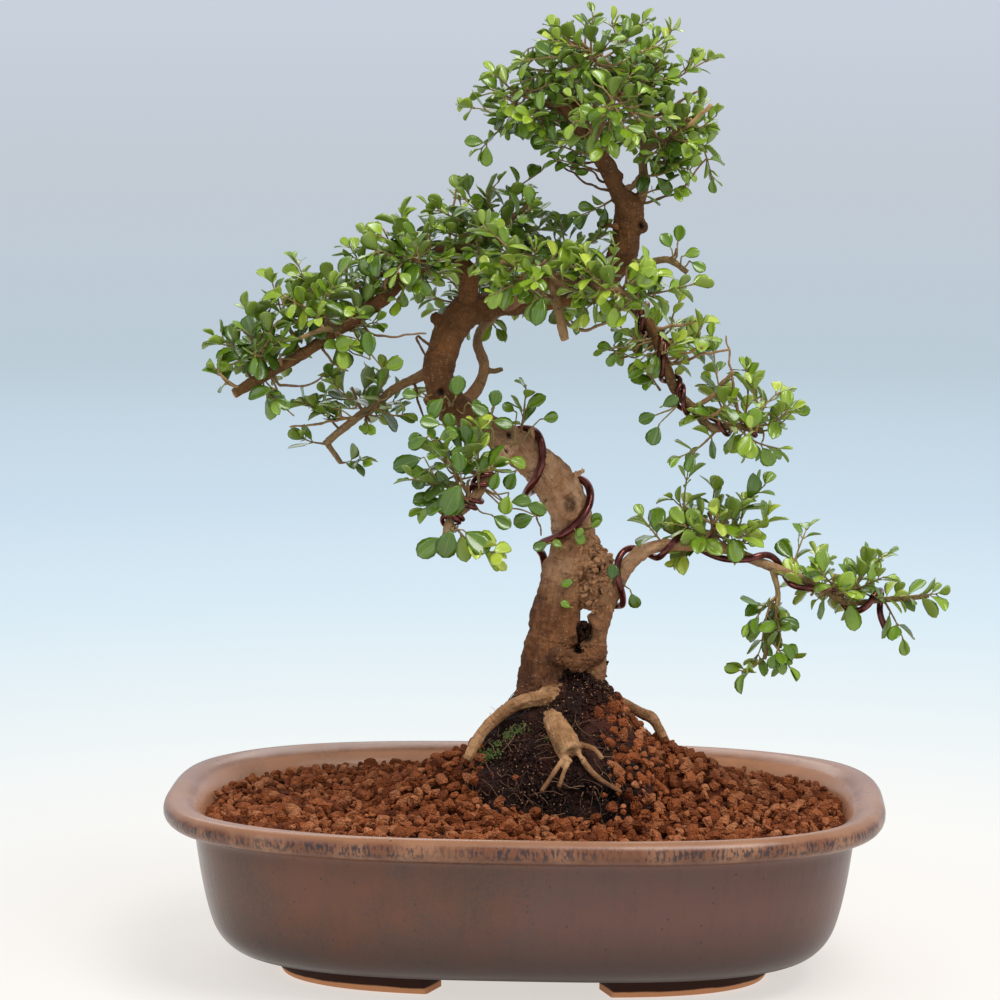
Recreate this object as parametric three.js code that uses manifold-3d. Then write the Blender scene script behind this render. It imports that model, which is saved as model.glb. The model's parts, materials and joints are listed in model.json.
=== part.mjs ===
// Privet bonsai in an oval glazed pot, with its soil, root ball, training wires and leaf pads.
// Millimetres, +Z up, standing on z = 0 with the middle of its box over the origin.
import * as THREE from 'three';
import Module from 'manifold-3d';
import { mergeVertices } from 'three/addons/utils/BufferGeometryUtils.js';

const wasm = await Module();
wasm.setup();

// The oval pot. Every outline below is the rim's oval moved inward by an inset.
const pot = {
  halfLength: 160,
  halfWidth: 113,
  height: 80,
  ovalPower: 2.97,
  segments: 44,
  undersideHeight: 10,
  holeRadius: 7,
  holeSpacing: 96,
};
const foot = { outerInset: 45, bottomInset: 53.5, innerInset: 68, halfGapFront: 43, halfGapEnd: 17 };
const gap = 0.3;            // clearance left between pieces that touch
const limbGap = 0.42;       // the same on many-sided limbs, measured at their corners

// How the tree is laid out: across and down as seen from the front, in thousandths of the view,
// with a depth in mm (negative is nearer the viewer). The view stands back from the pot's middle.
const view = { distance: 1700, aboveRim: 351.3, pitch: 7.42, roll: 0.38, scale: 3871, aside: 12.3, turn: 2.61 };

const radians = THREE.MathUtils.degToRad;
const rotate = ([x, y], angle) => [x * Math.cos(angle) - y * Math.sin(angle), x * Math.sin(angle) + y * Math.cos(angle)];

// The point of space that lies at a place in the front view and at a given depth.
function at(across, down, depth) {
  const [right, up] = rotate([(across - 500) / view.scale, (500 - down) / view.scale], radians(view.roll));
  const [forward, rise] = rotate([1, up], -radians(view.pitch));
  const reach = (depth + view.distance) / forward;
  const [x, y] = rotate([reach * right - view.aside, depth], radians(view.turn));
  return new THREE.Vector3(x, y, view.aboveRim + reach * rise + pot.height);
}

// Solids and meshes
const solidOf = (geometry) => {
  geometry.deleteAttribute('normal');
  geometry.deleteAttribute('uv');
  const merged = mergeVertices(geometry, 1e-4);
  return new wasm.Manifold(new wasm.Mesh({
    numProp: 3,
    vertProperties: new Float32Array(merged.attributes.position.array),
    triVerts: new Uint32Array(merged.index.array),
  }));
};

const largestPiece = (solid) => solid.decompose().reduce((a, b) => (a.volume() > b.volume() ? a : b));
const joined = (solids) => solids.reduce((sum, solid) => sum.add(solid));

const object = new THREE.Group();
function addPart(name, solid, color, roughness, metalness = 0) {
  const { vertProperties, triVerts } = solid.getMesh();
  const geometry = new THREE.BufferGeometry();
  geometry.setAttribute('position', new THREE.BufferAttribute(vertProperties, 3));
  geometry.setIndex(new THREE.BufferAttribute(triVerts, 1));
  geometry.computeVertexNormals();
  const mesh = new THREE.Mesh(geometry, new THREE.MeshStandardMaterial({ color, roughness, metalness }));
  mesh.name = name;
  object.add(mesh);
}

function boxSolid([x0, y0, z0], [x1, y1, z1]) {
  const geometry = new THREE.BoxGeometry(x1 - x0, y1 - y0, z1 - z0);
  geometry.translate((x0 + x1) / 2, (y0 + y1) / 2, (z0 + z1) / 2);
  return solidOf(geometry);
}

// A geometry from rings of equal length: closed over the ends by a middle point, or ring to ring.
function skin(rings, { closedLoop = false } = {}) {
  const count = rings[0].length;
  const points = rings.flat();
  const faces = [];
  const bands = closedLoop ? rings.length : rings.length - 1;
  for (let r = 0; r < bands; r += 1) {
    for (let i = 0; i < count; i += 1) {
      const a = r * count + i;
      const b = r * count + (i + 1) % count;
      const up = ((r + 1) % rings.length - r) * count;
      faces.push(a, b, b + up, a, b + up, a + up);
    }
  }
  if (!closedLoop) {
    const last = (rings.length - 1) * count;
    const middle = (ring) => ring.reduce((sum, p) => sum.add(p), new THREE.Vector3()).divideScalar(count);
    points.push(middle(rings[0]), middle(rings.at(-1)));
    for (let i = 0; i < count; i += 1) {
      const j = (i + 1) % count;
      faces.push(points.length - 2, j, i, points.length - 1, last + i, last + j);
    }
  }
  const geometry = new THREE.BufferGeometry();
  geometry.setAttribute('position', new THREE.BufferAttribute(new Float32Array(points.flatMap((p) => p.toArray())), 3));
  geometry.setIndex(faces);
  return geometry;
}

// One turn round the pot's oval at an inset; shrink pulls the whole turn towards the middle.
function ovalRing(inset, height, shrink = 1) {
  const bend = (value) => Math.sign(value) * Math.abs(value) ** (2 / pot.ovalPower);
  return Array.from({ length: pot.segments }, (_, i) => {
    const angle = (i / pot.segments) * 2 * Math.PI;
    const x = shrink * (pot.halfLength - inset) * bend(Math.cos(angle));
    const y = shrink * (pot.halfWidth - inset) * bend(Math.sin(angle));
    return new THREE.Vector3(x, y, typeof height === 'function' ? height(x, y) : height);
  });
}

// The pot's section, from the underside round the wall and the rolled lip to the floor inside.
const outerSection = [
  [43, 10], [36, 11.2], [30, 13.6], [25.6, 17.4], [22.2, 22.6], [19.4, 31], [16.6, 44], [14.3, 59], [13.4, 66],
  [10, 69], [3, 70], [0.3, 73.4], [0.6, 77.6], [4, 80], [9, 79.2],
];
const wallInside = [[16.5, 72.5], [19.4, 64], [23.5, 42], [28.5, 28], [39, 17.6], [50, 17]];

function makePot() {
  const body = solidOf(skin([...outerSection, ...wallInside].map(([inset, z]) => ovalRing(inset, z))));
  const footSection = [
    [foot.innerInset, 0], [foot.bottomInset, 0], [foot.outerInset + 5.5, 3], [foot.outerInset + 2, 7.5],
    [foot.outerInset, pot.undersideHeight + 1], [foot.innerInset, pot.undersideHeight + 1],
  ];
  const footRing = solidOf(skin(footSection.map(([inset, z]) => ovalRing(inset, z)), { closedLoop: true }));
  const top = pot.undersideHeight;
  const frontGap = boxSolid([-foot.halfGapFront, -pot.halfWidth, -1], [foot.halfGapFront, pot.halfWidth, top]);
  const endGap = boxSolid([-pot.halfLength, -foot.halfGapEnd, -1], [pot.halfLength, foot.halfGapEnd, top]);
  return joined([body, footRing.subtract(frontGap).subtract(endGap)]);
}

function drainHole(side) {
  const hole = new THREE.CylinderGeometry(pot.holeRadius, pot.holeRadius, 24, 24);
  hole.rotateX(Math.PI / 2);
  hole.translate(side * pot.holeSpacing / 2, 0, pot.undersideHeight + 3);
  return solidOf(hole);
}

// A square of plastic netting that keeps the soil in over a drain hole, and the wire that holds it.
const netting = { half: 12, thickness: 1.2, mesh: 6, bar: 1.8, floor: 17 + gap };
function drainNet(side) {
  const x = side * pot.holeSpacing / 2;
  const { half, thickness, mesh, bar, floor } = netting;
  let net = boxSolid([x - half, -half, floor], [x + half, half, floor + thickness]);
  const reach = half - mesh / 2;
  for (let i = -reach; i <= reach + 0.01; i += mesh) {
    for (let j = -reach; j <= reach + 0.01; j += mesh) {
      const hole = (mesh - bar) / 2;
      net = net.subtract(boxSolid([x + i - hole, j - hole, floor - 1], [x + i + hole, j + hole, floor + 3]));
    }
  }
  return net;
}

const clip = { radius: 0.75, halfSpan: 3, aside: 3, toe: 8 };
function netClip(side) {
  const x = side * pot.holeSpacing / 2;
  const top = netting.floor + netting.thickness + gap + clip.radius;
  const low = pot.undersideHeight - gap - clip.radius;
  const leg = (way) => [
    [x + way * (clip.halfSpan + clip.toe), low - 0.6], [x + way * (clip.halfSpan + 1.5), low],
    [x + way * clip.halfSpan, low + 2], [x + way * clip.halfSpan, top - 1.5], [x + way * (clip.halfSpan - 1.2), top],
  ];
  const points = [...leg(-1), ...leg(1).reverse()].map(([px, pz]) => new THREE.Vector3(px, clip.aside, pz));
  return limbSolid({ points, radii: [clip.radius], steps: 20 });
}

// A tapered round limb along a smooth curve through its points. A station counts those points.
function limbCurve(limb) {
  const curve = new THREE.CatmullRomCurve3(limb.points, false, 'centripetal');
  const last = limb.points.length - 1;
  const radiusAt = (station) => {
    if (limb.radii.length === 1) return limb.radii[0];
    const low = Math.min(Math.floor(station), last - 1);
    return THREE.MathUtils.lerp(limb.radii[low], limb.radii[low + 1], station - low);
  };
  return { curve, last, radiusAt };
}

// The frame across a limb: toward the viewer, and to the viewer's left as the limb runs upward.
function across(tangent) {
  const front = new THREE.Vector3(0, -1, 0).addScaledVector(tangent, tangent.y).normalize();
  return { front, side: new THREE.Vector3().crossVectors(front, tangent).normalize() };
}

function limbSolid(limb, extra = 0) {
  const { curve, last, radiusAt } = limbCurve(limb);
  const steps = limb.steps ?? Math.max(2, Math.round(curve.getLength() / 12));
  const sides = limb.sides ?? (limb.radii[0] > 3 ? 6 : 5);
  const frames = curve.computeFrenetFrames(steps, false);
  const rings = [];
  for (let i = 0; i <= steps; i += 1) {
    const share = curve.getUtoTmapping(i / steps);
    const centre = curve.getPoint(share);
    const radius = radiusAt(share * last) + extra;
    const shift = i === 0 ? -extra : (i === steps ? extra : 0);
    centre.addScaledVector(frames.tangents[i], shift);
    rings.push(Array.from({ length: sides }, (_, k) => {
      const angle = (k / sides) * 2 * Math.PI;
      return centre.clone()
        .addScaledVector(frames.normals[i], radius * Math.cos(angle))
        .addScaledVector(frames.binormals[i], radius * Math.sin(angle));
    }));
  }
  return solidOf(skin(rings));
}

const limb = (points, radii, more = {}) => ({ points: points.map((p) => at(...p)), radii, ...more });

// The trunk climbs to the right, swings left across the middle and comes back under the crown.
const trunk = limb([
  [545, 775, 0], [545, 735, 0], [546, 700, 0], [548, 675, 1], [550, 650, 2], [555, 620, 3], [558, 600, 5],
  [563, 580, 7], [570, 560, 8], [573, 540, 9], [571, 520, 9], [565, 500, 8], [556, 485, 6], [538, 464, 3],
  [522, 451, 0], [509, 440, -2], [485, 427, -5], [460, 411, -6], [443, 393, -6], [438, 371, -2], [444, 348, 2],
  [452, 328, 6], [464, 314, 9], [487, 306, 12], [521, 306, 14], [560, 300, 14], [590, 290, 13], [612, 272, 11],
  [624, 250, 7], [627, 228, 4], [629, 208, 2], [616, 188, 0], [607, 166, 0], [593, 149, 0], [582, 132, 0],
  [572, 112, -1], [556, 94, -2],
], [
  12, 14.5, 14.6, 13, 11.8, 10.8, 10.4,
  10.3, 10.3, 9.4, 9.1, 9.4, 9.4, 8.6,
  7.9, 7, 6.4, 6.2, 6.6, 6.9, 6.6,
  7, 7.6, 5.6, 3.9, 3.6, 4.2, 5.4,
  6.6, 6, 6.6, 3.6, 4.2, 3.3, 3.3,
  4.4, 2.2,
], { sides: 10, steps: 42 });

// The low right branch rises as a column beside the trunk, joined to it at the foot and at the burl.
const lowRight = limb([
  [580, 715, 2], [592, 672, 0], [595, 640, -1], [602, 615, -3], [612, 592, -5], [624, 570, -7], [641, 553, -9],
  [664, 545, -10], [692, 546, -9], [722, 548, -8], [755, 560, -7], [790, 574, -7], [818, 586, -6], [846, 602, -5],
  [884, 600, -5], [908, 599, -5], [930, 596, -5],
], [7, 6.4, 5.2, 4.8, 4.1, 3.5, 3.1, 2.7, 2.6, 2.4, 2.2, 2, 1.7, 1.5, 1.1, 0.9, 0.7], { sides: 8, steps: 25 });

const midRight = limb([
  [606, 278, 12], [622, 298, 5], [638, 310, 0], [650, 326, -4], [659, 348, -7], [668, 372, -9], [676, 391, -9],
  [694, 409, -9], [711, 427, -7], [735, 426, -7], [763, 431, -8],
], [3.8, 3.4, 3, 2.7, 2.4, 2.3, 2.2, 2.1, 2, 1.8, 1.3]);

const frontLeft = limb([
  [516, 446, -1], [505, 452, -15], [488, 468, -26], [479, 491, -33], [465, 507, -39], [450, 521, -43],
  [444, 545, -48],
], [3.8, 3.2, 2.7, 2.4, 2.2, 2, 1.5]);

const branches = [
  lowRight, midRight, frontLeft,
  // Upper left limb with its sawn end, and its shoot to the upper right.
  limb([
    [466, 310, 8], [468, 272, 6], [448, 250, 2], [420, 267, -4], [404, 279, -8], [384, 297, -12], [360, 316, -14],
    [334, 333, -16], [302, 354, -18], [270, 373, -22], [233, 394, -26],
  ], [5, 4, 3.3, 3.1, 3.1, 3.2, 3, 2.6, 2.5, 2.5, 2.4]),
  limb([[450, 252, 2], [470, 240, 4], [488, 229, 6], [507, 221, 6], [530, 204, 4]], [2.6, 2.2, 1.9, 1.6, 1.2]),
  limb([[386, 292, -12], [372, 285, 4], [350, 287, 22]], [2.4, 1.8, 1.2]),
  limb([[340, 329, -16], [322, 330, -34], [300, 338, -46]], [2.2, 1.7, 1.2]),
  // Lower left branch, bent down at its end.
  limb([[438, 366, -1], [417, 378, 7], [396, 388, 11], [377, 403, 14], [355, 419, 18], [325, 444, 22]],
    [2.8, 2.3, 2.1, 2, 1.9, 1.6]),
  limb([[326, 442, 22], [341, 463, 24]], [1.5, 1.1]),
  // Loop branch, which goes up behind the trunk to the pads at the back.
  limb([
    [458, 407, -4], [473, 394, 3], [481, 381, 6], [484, 367, 9], [481, 354, 13], [477, 341, 19], [484, 326, 32],
    [502, 311, 46], [524, 300, 58], [548, 292, 70],
  ], [3.6, 2.9, 2.5, 2.4, 2.3, 2.2, 2, 1.8, 1.6, 1.2]),
  limb([[502, 311, 46], [480, 306, 56], [462, 304, 66]], [1.8, 1.5, 1.1]),
  limb([[483, 370, 9], [494, 371, 8], [503, 369, 7]], [1.3, 1.2, 1]),
  // Front branch with its shortened stubs.
  limb([[505, 305, 13], [526, 294, -6], [548, 281, -26], [578, 283, -38], [612, 290, -46], [640, 296, -50]],
    [3.7, 3.2, 2.8, 2.3, 1.8, 1.2]),
  limb([[551, 272, -26], [557, 305, -36], [565, 340, -42]], [2.1, 2.1, 2]),
  limb([[545, 282, -24], [522, 268, -34], [500, 262, -42]], [2, 1.6, 1.1]),
  // Crown: the right leader, forks and a twig below them.
  limb([[634, 207, 2], [643, 192, 2], [643, 160, 3], [646, 124, 4], [649, 98, 4], [660, 66, 4]],
    [3.4, 2.4, 2, 1.7, 1.5, 1.2]),
  limb([[590, 145, 0], [606, 112, -12], [618, 84, -18]], [2.3, 1.9, 1.3]),
  limb([[604, 160, 0], [588, 130, 20], [580, 100, 32]], [2.4, 1.9, 1.3]),
  limb([[574, 116, -1], [548, 104, 4], [518, 92, 6]], [2.2, 1.8, 1.2]),
  limb([[644, 150, 3], [668, 138, -4], [690, 118, -8]], [1.7, 1.4, 1.1]),
  limb([[628, 262, 7], [645, 263, -2], [669, 260, -8], [688, 273, -10]], [2, 1.6, 1.5, 1.2]),
  // Side shoots of the low right branch.
  limb([[708, 547, -8], [714, 532, 6], [728, 522, 20]], [1.8, 1.5, 1.1]),
  limb([[772, 567, -7], [778, 594, -12], [773, 626, -16], [764, 660, -18]], [1.5, 1.2, 1.1, 1]),
];

// Surface roots at the foot of the trunk, the sawn stub among them.
const roots = [
  limb([[564, 696, -10], [541, 698, -17], [516, 704, -19], [497, 717, -21], [480, 735, -23], [467, 760, -26]],
    [4.2, 3.9, 3.4, 3, 2.7, 2.3]),
  limb([[548, 708, -10], [556, 725, -25], [564, 740, -32], [572, 754, -38]], [4.2, 5.2, 5.8, 5.4]),
  limb([[573, 752, -37], [592, 774, -43], [622, 794, -54]], [1.9, 1.6, 1.2]),
  limb([[568, 755, -37], [553, 776, -46], [541, 792, -54]], [1.9, 1.5, 1.2]),
  limb([[604, 690, 0], [616, 708, -6], [626, 724, -9], [632, 748, -14]], [2.2, 1.8, 1.6, 1.3]),
  limb([[618, 700, 12], [641, 713, 12], [652, 718, 10], [664, 738, 6]], [2, 2.6, 2.6, 2]),
  limb([[552, 660, -8], [562, 655, -13], [578, 662, -13], [597, 652, -5]], [3.8, 4.6, 4.4, 4.6]),
  limb([[545, 716, 12], [520, 715, 26], [496, 730, 38]], [6, 4.4, 2.6]),
];

// The ragged burl on the trunk's right side, where the low branch touches it.
const burlLumps = [[596, 566, 4, 7.4], [600, 585, 2, 6], [590, 598, 2, 5], [586, 548, 6, 6]];

function burlSolid(extra) {
  return joined(burlLumps.map(([u, v, depth, radius]) => {
    const lump = new THREE.IcosahedronGeometry(radius + extra, 1);
    lump.translate(...at(u, v, depth).toArray());
    return solidOf(lump);
  }));
}

const woodWith = (extra) => joined([trunk, ...branches, ...roots].map((l) => limbSolid(l, extra))).add(burlSolid(extra));

// Training wires. Each winds round its limb: pairs of a station and an angle from the viewer's side,
// with an optional stand-off, and a straight tail where one is left.
function windSolid({ around, radius, turns, tail = [] }, extra = 0) {
  const { curve, last, radiusAt } = limbCurve(around);
  const route = [];
  for (let i = 0; i + 1 < turns.length; i += 1) {
    const [from, to] = [turns[i], turns[i + 1]];
    const pieces = Math.max(1, Math.ceil(Math.abs(to[1] - from[1]) / 45));
    for (let k = 0; k < pieces; k += 1) {
      const share = k / pieces;
      route.push([0, 1, 2].map((n) => THREE.MathUtils.lerp(from[n] ?? 0, to[n] ?? 0, share)));
    }
  }
  route.push(turns.at(-1));
  const points = route.map(([station, degrees, standOff = 0]) => {
    const { front, side } = across(curve.getTangent(station / last));
    const reach = radiusAt(station) + radius + limbGap + standOff;
    return curve.getPoint(station / last)
      .addScaledVector(front, reach * Math.cos(radians(degrees)))
      .addScaledVector(side, reach * Math.sin(radians(degrees)));
  });
  points.push(...tail.map((p) => at(...p)));
  return limbSolid({ points, radii: [radius], sides: radius > 1.2 ? 6 : 5, steps: Math.round(route.length * 1.3) }, extra);
}

const wires = {
  trunk_wire: {
    around: trunk, radius: 1.8,
    turns: [[1.6, 178, 2.6], [3, 176, 2.2], [5, 170, 1], [6.6, 155, 0.8], [7.6, 125, 1.5], [8.4, 90, 4],
      [9.1, 50, 2.4], [9.8, 0, 0.5], [11.1, -90, 0.8], [11.7, -180, 0.5], [12.4, -270, 3], [13.2, -360, 0.5],
      [14.1, -450, 0.5], [14.8, -520, 0.6]],
  },
  front_wire_a: {
    around: frontLeft, radius: 1.05,
    turns: [[1.5, 200, 0.4], [2.2, 90, 0.4], [2.75, -90, 0.3], [3.2, -250, 0.3], [4.15, -450, 0.4], [4.6, -720, 0.3],
      [5.1, -1000, 0.3]],
  },
  front_wire_b: {
    around: frontLeft, radius: 1.05,
    turns: [[1.9, 200, 0.4], [2.6, 90, 0.4], [3.13, -90, 0.3], [3.6, -250, 0.3], [4.43, -450, 0.4], [4.87, -720, 0.3],
      [5.37, -1000, 0.3]],
  },
  mid_wire_a: {
    around: midRight, radius: 1.1,
    turns: [[1.5, 120, 1.2], [2.6, -60, 0.5], [3.5, -300, 0.4], [4.6, -400, 0.5], [5.6, -640, 0.4], [6.6, -820, 0.4],
      [8.3, -1020, 0.4], [9.0, -1300, 0.4], [9.8, -1500, 0.4]],
  },
  mid_wire_b: {
    around: midRight, radius: 1.1,
    turns: [[1.95, 120, 0.9], [3.0, -60, 0.4], [3.9, -300, 0.4], [5.0, -400, 0.5], [6.0, -640, 0.4], [7.0, -820, 0.4]],
  },
  low_wire: {
    around: lowRight, radius: 1.5,
    turns: [[3.35, -150, 0.6], [3.7, -90, 0.8], [4.7, 0, 0.5], [5.5, 90, 0.6], [6, 180, 0.5], [6.6, 270, 0.4],
      [7.2, 360, 0.4], [7.6, 450, 0.4], [8.1, 540, 0.4], [9, 630, 0.4], [9.8, 720, 0.4], [10.3, 810, 0.4],
      [10.8, 900, 0.4], [11.2, 990, 0.5], [12, 1080, 0.4], [12.6, 1170, 0.4], [12.9, 1260, 0.5], [13.2, 1350, 0.8],
      [13.6, 1440, 1], [13.85, 1530, 1.4]],
    tail: [[881, 592, 2], [880, 613, -2], [886, 630, -4]],
  },
};

// The bed of clay granules: level by the rim and heaped toward the trunk.
const heap = { edgeInset: 18.8, edge: -8.5, middle: [18, 12], height: 44, spread: 37, shoulder: 9, shoulderSpread: 85 };
// Banks of granules at each side of the ball: middle, spread and height.
const banks = [
  { middle: [74, 15], spread: [24, 40], height: 13 },
  { middle: [-38, 8], spread: [20, 32], height: 11 },
];
const heapHeight = (x, y) => {
  const away = Math.hypot(x - heap.middle[0], (y - heap.middle[1]) * 1.15);
  const peak = heap.height * Math.exp(-((away / heap.spread) ** 2));
  const shoulder = heap.shoulder * Math.exp(-((away / heap.shoulderSpread) ** 2));
  const banked = banks.map(({ middle, spread, height }) => {
    const fall = ((x - middle[0]) / spread[0]) ** 2 + ((y - middle[1]) / spread[1]) ** 2;
    return height * Math.exp(-fall);
  });
  return pot.height + heap.edge + peak + shoulder + banked[0] + banked[1];
};

function makeSoil() {
  const wall = wallInside.slice(1).reverse().map(([inset, z]) => ovalRing(inset + limbGap, z + limbGap));
  const top = [1, 0.84, 0.7, 0.6, 0.5, 0.4, 0.3].map((shrink) => ovalRing(heap.edgeInset, heapHeight, shrink));
  return solidOf(skin([...wall, ...top]));
}

// The peaty root ball: a rough mound that stands out of the granules under the trunk.
const ball = { middle: [14, -8], bottom: 34, radius: 46, top: 137, front: 0.84, back: 0.95 };
function makeRootBall(extra = 0) {
  const levels = [
    [0, 0.86], [0.22, 1], [0.42, 1], [0.56, 0.95], [0.66, 0.82], [0.75, 0.66], [0.84, 0.5], [0.92, 0.36], [1, 0.18],
  ];
  const count = 20;
  const rings = levels.map(([share, width], level) => Array.from({ length: count }, (_, i) => {
    const angle = (i / count) * 2 * Math.PI;
    const rough = 1 + 0.05 * Math.sin(3 * angle + level) + 0.04 * Math.sin(7 * angle + 2 * level);
    const radius = ball.radius * width * rough + extra;
    const lean = 4 * share;
    return new THREE.Vector3(
      ball.middle[0] + lean + radius * Math.cos(angle),
      ball.middle[1] + 10 * share + radius * (Math.sin(angle) < 0 ? ball.front : ball.back) * Math.sin(angle),
      ball.bottom + share * (ball.top - ball.bottom) + (share === 0 ? -extra : share * extra),
    );
  }));
  return solidOf(skin(rings));
}

// Leaf pads: the middle of each in the front view with its depth, and its half sizes.
const pads = {
  crown_top: [[600, 62, 0], [43, 37, 22]],
  crown_left: [[528, 106, 3], [27, 30, 20]],
  crown_right: [[670, 136, 0], [23, 31, 26]],
  crown_front: [[612, 112, -32], [26, 17, 20]],
  crown_back: [[596, 122, 34], [30, 20, 24]],
  left_top: [[492, 226, 2], [28, 32, 21]],
  left_inner: [[408, 260, -6], [30, 37, 20]],
  left_middle: [[330, 308, -14], [29, 37, 21]],
  left_tip: [[262, 352, -20], [22, 28, 18]],
  left_low: [[362, 404, 15], [29, 28, 17]],
  centre: [[566, 256, 8], [25, 24, 17]],
  front_left: [[528, 276, -36], [26, 22, 18]],
  front_right: [[610, 286, -44], [27, 22, 19]],
  back_left: [[478, 300, 60], [27, 26, 19]],
  back_right: [[552, 284, 68], [28, 26, 19]],
  mid_inner: [[664, 340, -6], [22, 26, 20]],
  mid_tip: [[744, 414, -8], [26, 25, 18]],
  low_inner: [[718, 524, 0], [31, 29, 17]],
  low_outer: [[836, 586, -6], [29, 25, 16]],
  low_hanging: [[767, 642, -17], [14, 13, 19]],
  near_left: [[452, 478, -44], [20, 18, 25]],
};

function padSolid([middle, [sx, sy, sz]], extra = 0) {
  const lump = new THREE.IcosahedronGeometry(1, 1);
  const points = lump.attributes.position;
  const p = new THREE.Vector3();
  for (let i = 0; i < points.count; i += 1) {
    p.fromBufferAttribute(points, i);
    const swell = 1 + 0.07 * Math.sin(4 * p.x + 3 * p.y + middle[0]) * Math.cos(5 * p.z + middle[1]);
    points.setXYZ(i, p.x * (sx + extra) * swell, p.y * (sy + extra) * swell, p.z * (sz + extra) * swell);
  }
  lump.translate(...at(...middle).toArray());
  return solidOf(lump);
}

// Everything is put together from the pot inwards and upwards, each piece clear of the ones before.
const wood = largestPiece(woodWith(0));
const woodRoom = woodWith(limbGap);
const wireRoom = joined([wires.trunk_wire, wires.low_wire].map((wire) => windSolid(wire, limbGap)));
// Room for the wires between a wired branch and its leaves.
const sleeves = joined([[frontLeft, 4.6], [midRight, 4.6], [lowRight, 5.2]].map(([l, depth]) => limbSolid(l, depth)));
const taken = woodRoom.add(wireRoom);
const wiredRoom = taken.add(sleeves);
const nets = [-1, 1].map(drainNet);
const clips = [-1, 1].map(netClip);

addPart('pot', makePot().subtract(drainHole(-1)).subtract(drainHole(1)), 0x614d43, 0.32);
nets.forEach((net, i) => addPart(`drain_net_${i ? 'right' : 'left'}`, net, 0x20242a, 0.6));
clips.forEach((wire, i) => addPart(`net_clip_${i ? 'right' : 'left'}`, wire, 0x9a9da0, 0.35, 0.9));

const netRoom = [-1, 1].map((side) => {
  const x = side * pot.holeSpacing / 2;
  const half = netting.half + gap;
  return boxSolid([x - half, -half, 0], [x + half, half, netting.floor + netting.thickness + 2 * clip.radius + 3 * gap]);
});
const rootBall = largestPiece(makeRootBall().subtract(taken));
addPart('soil_bed', largestPiece(makeSoil().subtract(joined([makeRootBall(limbGap), taken, ...netRoom]))), 0x894f3c, 0.95);
addPart('root_ball', rootBall, 0x2d1a16, 0.95);
addPart('tree_wood', wood, 0x8a6a4c, 0.8);
for (const [name, wire] of Object.entries(wires)) addPart(name, windSolid(wire), 0x5a3232, 0.35, 0.85);

let room = wiredRoom;
for (const [name, pad] of Object.entries(pads)) {
  addPart(`leaves_${name}`, largestPiece(padSolid(pad).subtract(room)), 0x3f6f2a, 0.5);
  room = room.add(padSolid(pad, limbGap));
}

const box = new THREE.Box3().setFromObject(object);
const middle = box.getCenter(new THREE.Vector3());
for (const mesh of object.children) mesh.geometry.translate(-middle.x, -middle.y, -box.min.z);

export default object;
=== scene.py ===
# Privet bonsai in an oval glazed pot: the finish of every piece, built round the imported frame.
# Shapes are worked out in millimetres and become metres when their mesh is made.
import json
import math

import bpy
import numpy as np
from mathutils import Matrix, Vector, noise

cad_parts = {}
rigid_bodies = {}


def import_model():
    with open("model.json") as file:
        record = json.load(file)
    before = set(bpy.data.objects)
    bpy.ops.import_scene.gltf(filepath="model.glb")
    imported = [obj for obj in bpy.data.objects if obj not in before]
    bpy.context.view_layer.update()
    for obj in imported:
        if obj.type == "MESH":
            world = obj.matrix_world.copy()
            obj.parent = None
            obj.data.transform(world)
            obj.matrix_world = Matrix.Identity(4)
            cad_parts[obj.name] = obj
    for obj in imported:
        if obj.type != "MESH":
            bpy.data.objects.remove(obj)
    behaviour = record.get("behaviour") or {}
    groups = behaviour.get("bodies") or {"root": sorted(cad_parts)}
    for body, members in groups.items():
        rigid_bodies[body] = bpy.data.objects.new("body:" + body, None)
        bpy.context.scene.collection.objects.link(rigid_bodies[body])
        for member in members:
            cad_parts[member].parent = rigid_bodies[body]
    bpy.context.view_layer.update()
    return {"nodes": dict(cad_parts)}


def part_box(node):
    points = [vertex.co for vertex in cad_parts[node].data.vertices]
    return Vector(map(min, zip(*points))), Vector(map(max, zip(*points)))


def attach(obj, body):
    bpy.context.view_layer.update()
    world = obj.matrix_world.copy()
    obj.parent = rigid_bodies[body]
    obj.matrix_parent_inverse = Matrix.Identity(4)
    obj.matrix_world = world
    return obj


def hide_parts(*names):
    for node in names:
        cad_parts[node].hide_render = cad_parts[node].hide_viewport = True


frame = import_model()
mm = 0.001

# The front view that the tree is laid out in: millimetres and degrees, as in the CAD.
view = {
    "distance": 1700,
    "aboveRim": 351.3,
    "pitch": 7.42,
    "roll": 0.38,
    "scale": 3871,      # thousandths of the picture per unit of slope
    "aside": 12.3,
    "turn": 2.61,
}
potLow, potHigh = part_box("pot")
potX = (potLow.x + potHigh.x) / 2 / mm
potTop = potHigh.z / mm


def turned(x, y, degrees):
    c = math.cos(math.radians(degrees))
    s = math.sin(math.radians(degrees))
    return x * c - y * s, x * s + y * c


# The point that shows at a place in the front view, at a depth behind the pot's middle.
def at(across, down, depth):
    right, up = turned((across - 500) / view["scale"], (500 - down) / view["scale"], view["roll"])
    forward, rise = turned(1, up, -view["pitch"])
    reach = (depth + view["distance"]) / forward
    x, y = turned(reach * right - view["aside"], depth, view["turn"])
    return np.array((x + potX, y, potTop + view["aboveRim"] + reach * rise))


def places(points):
    return np.array([at(*point) for point in points])


def unit(vectors):
    return vectors / np.maximum(np.linalg.norm(vectors, axis=-1, keepdims=True), 1e-9)


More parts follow.
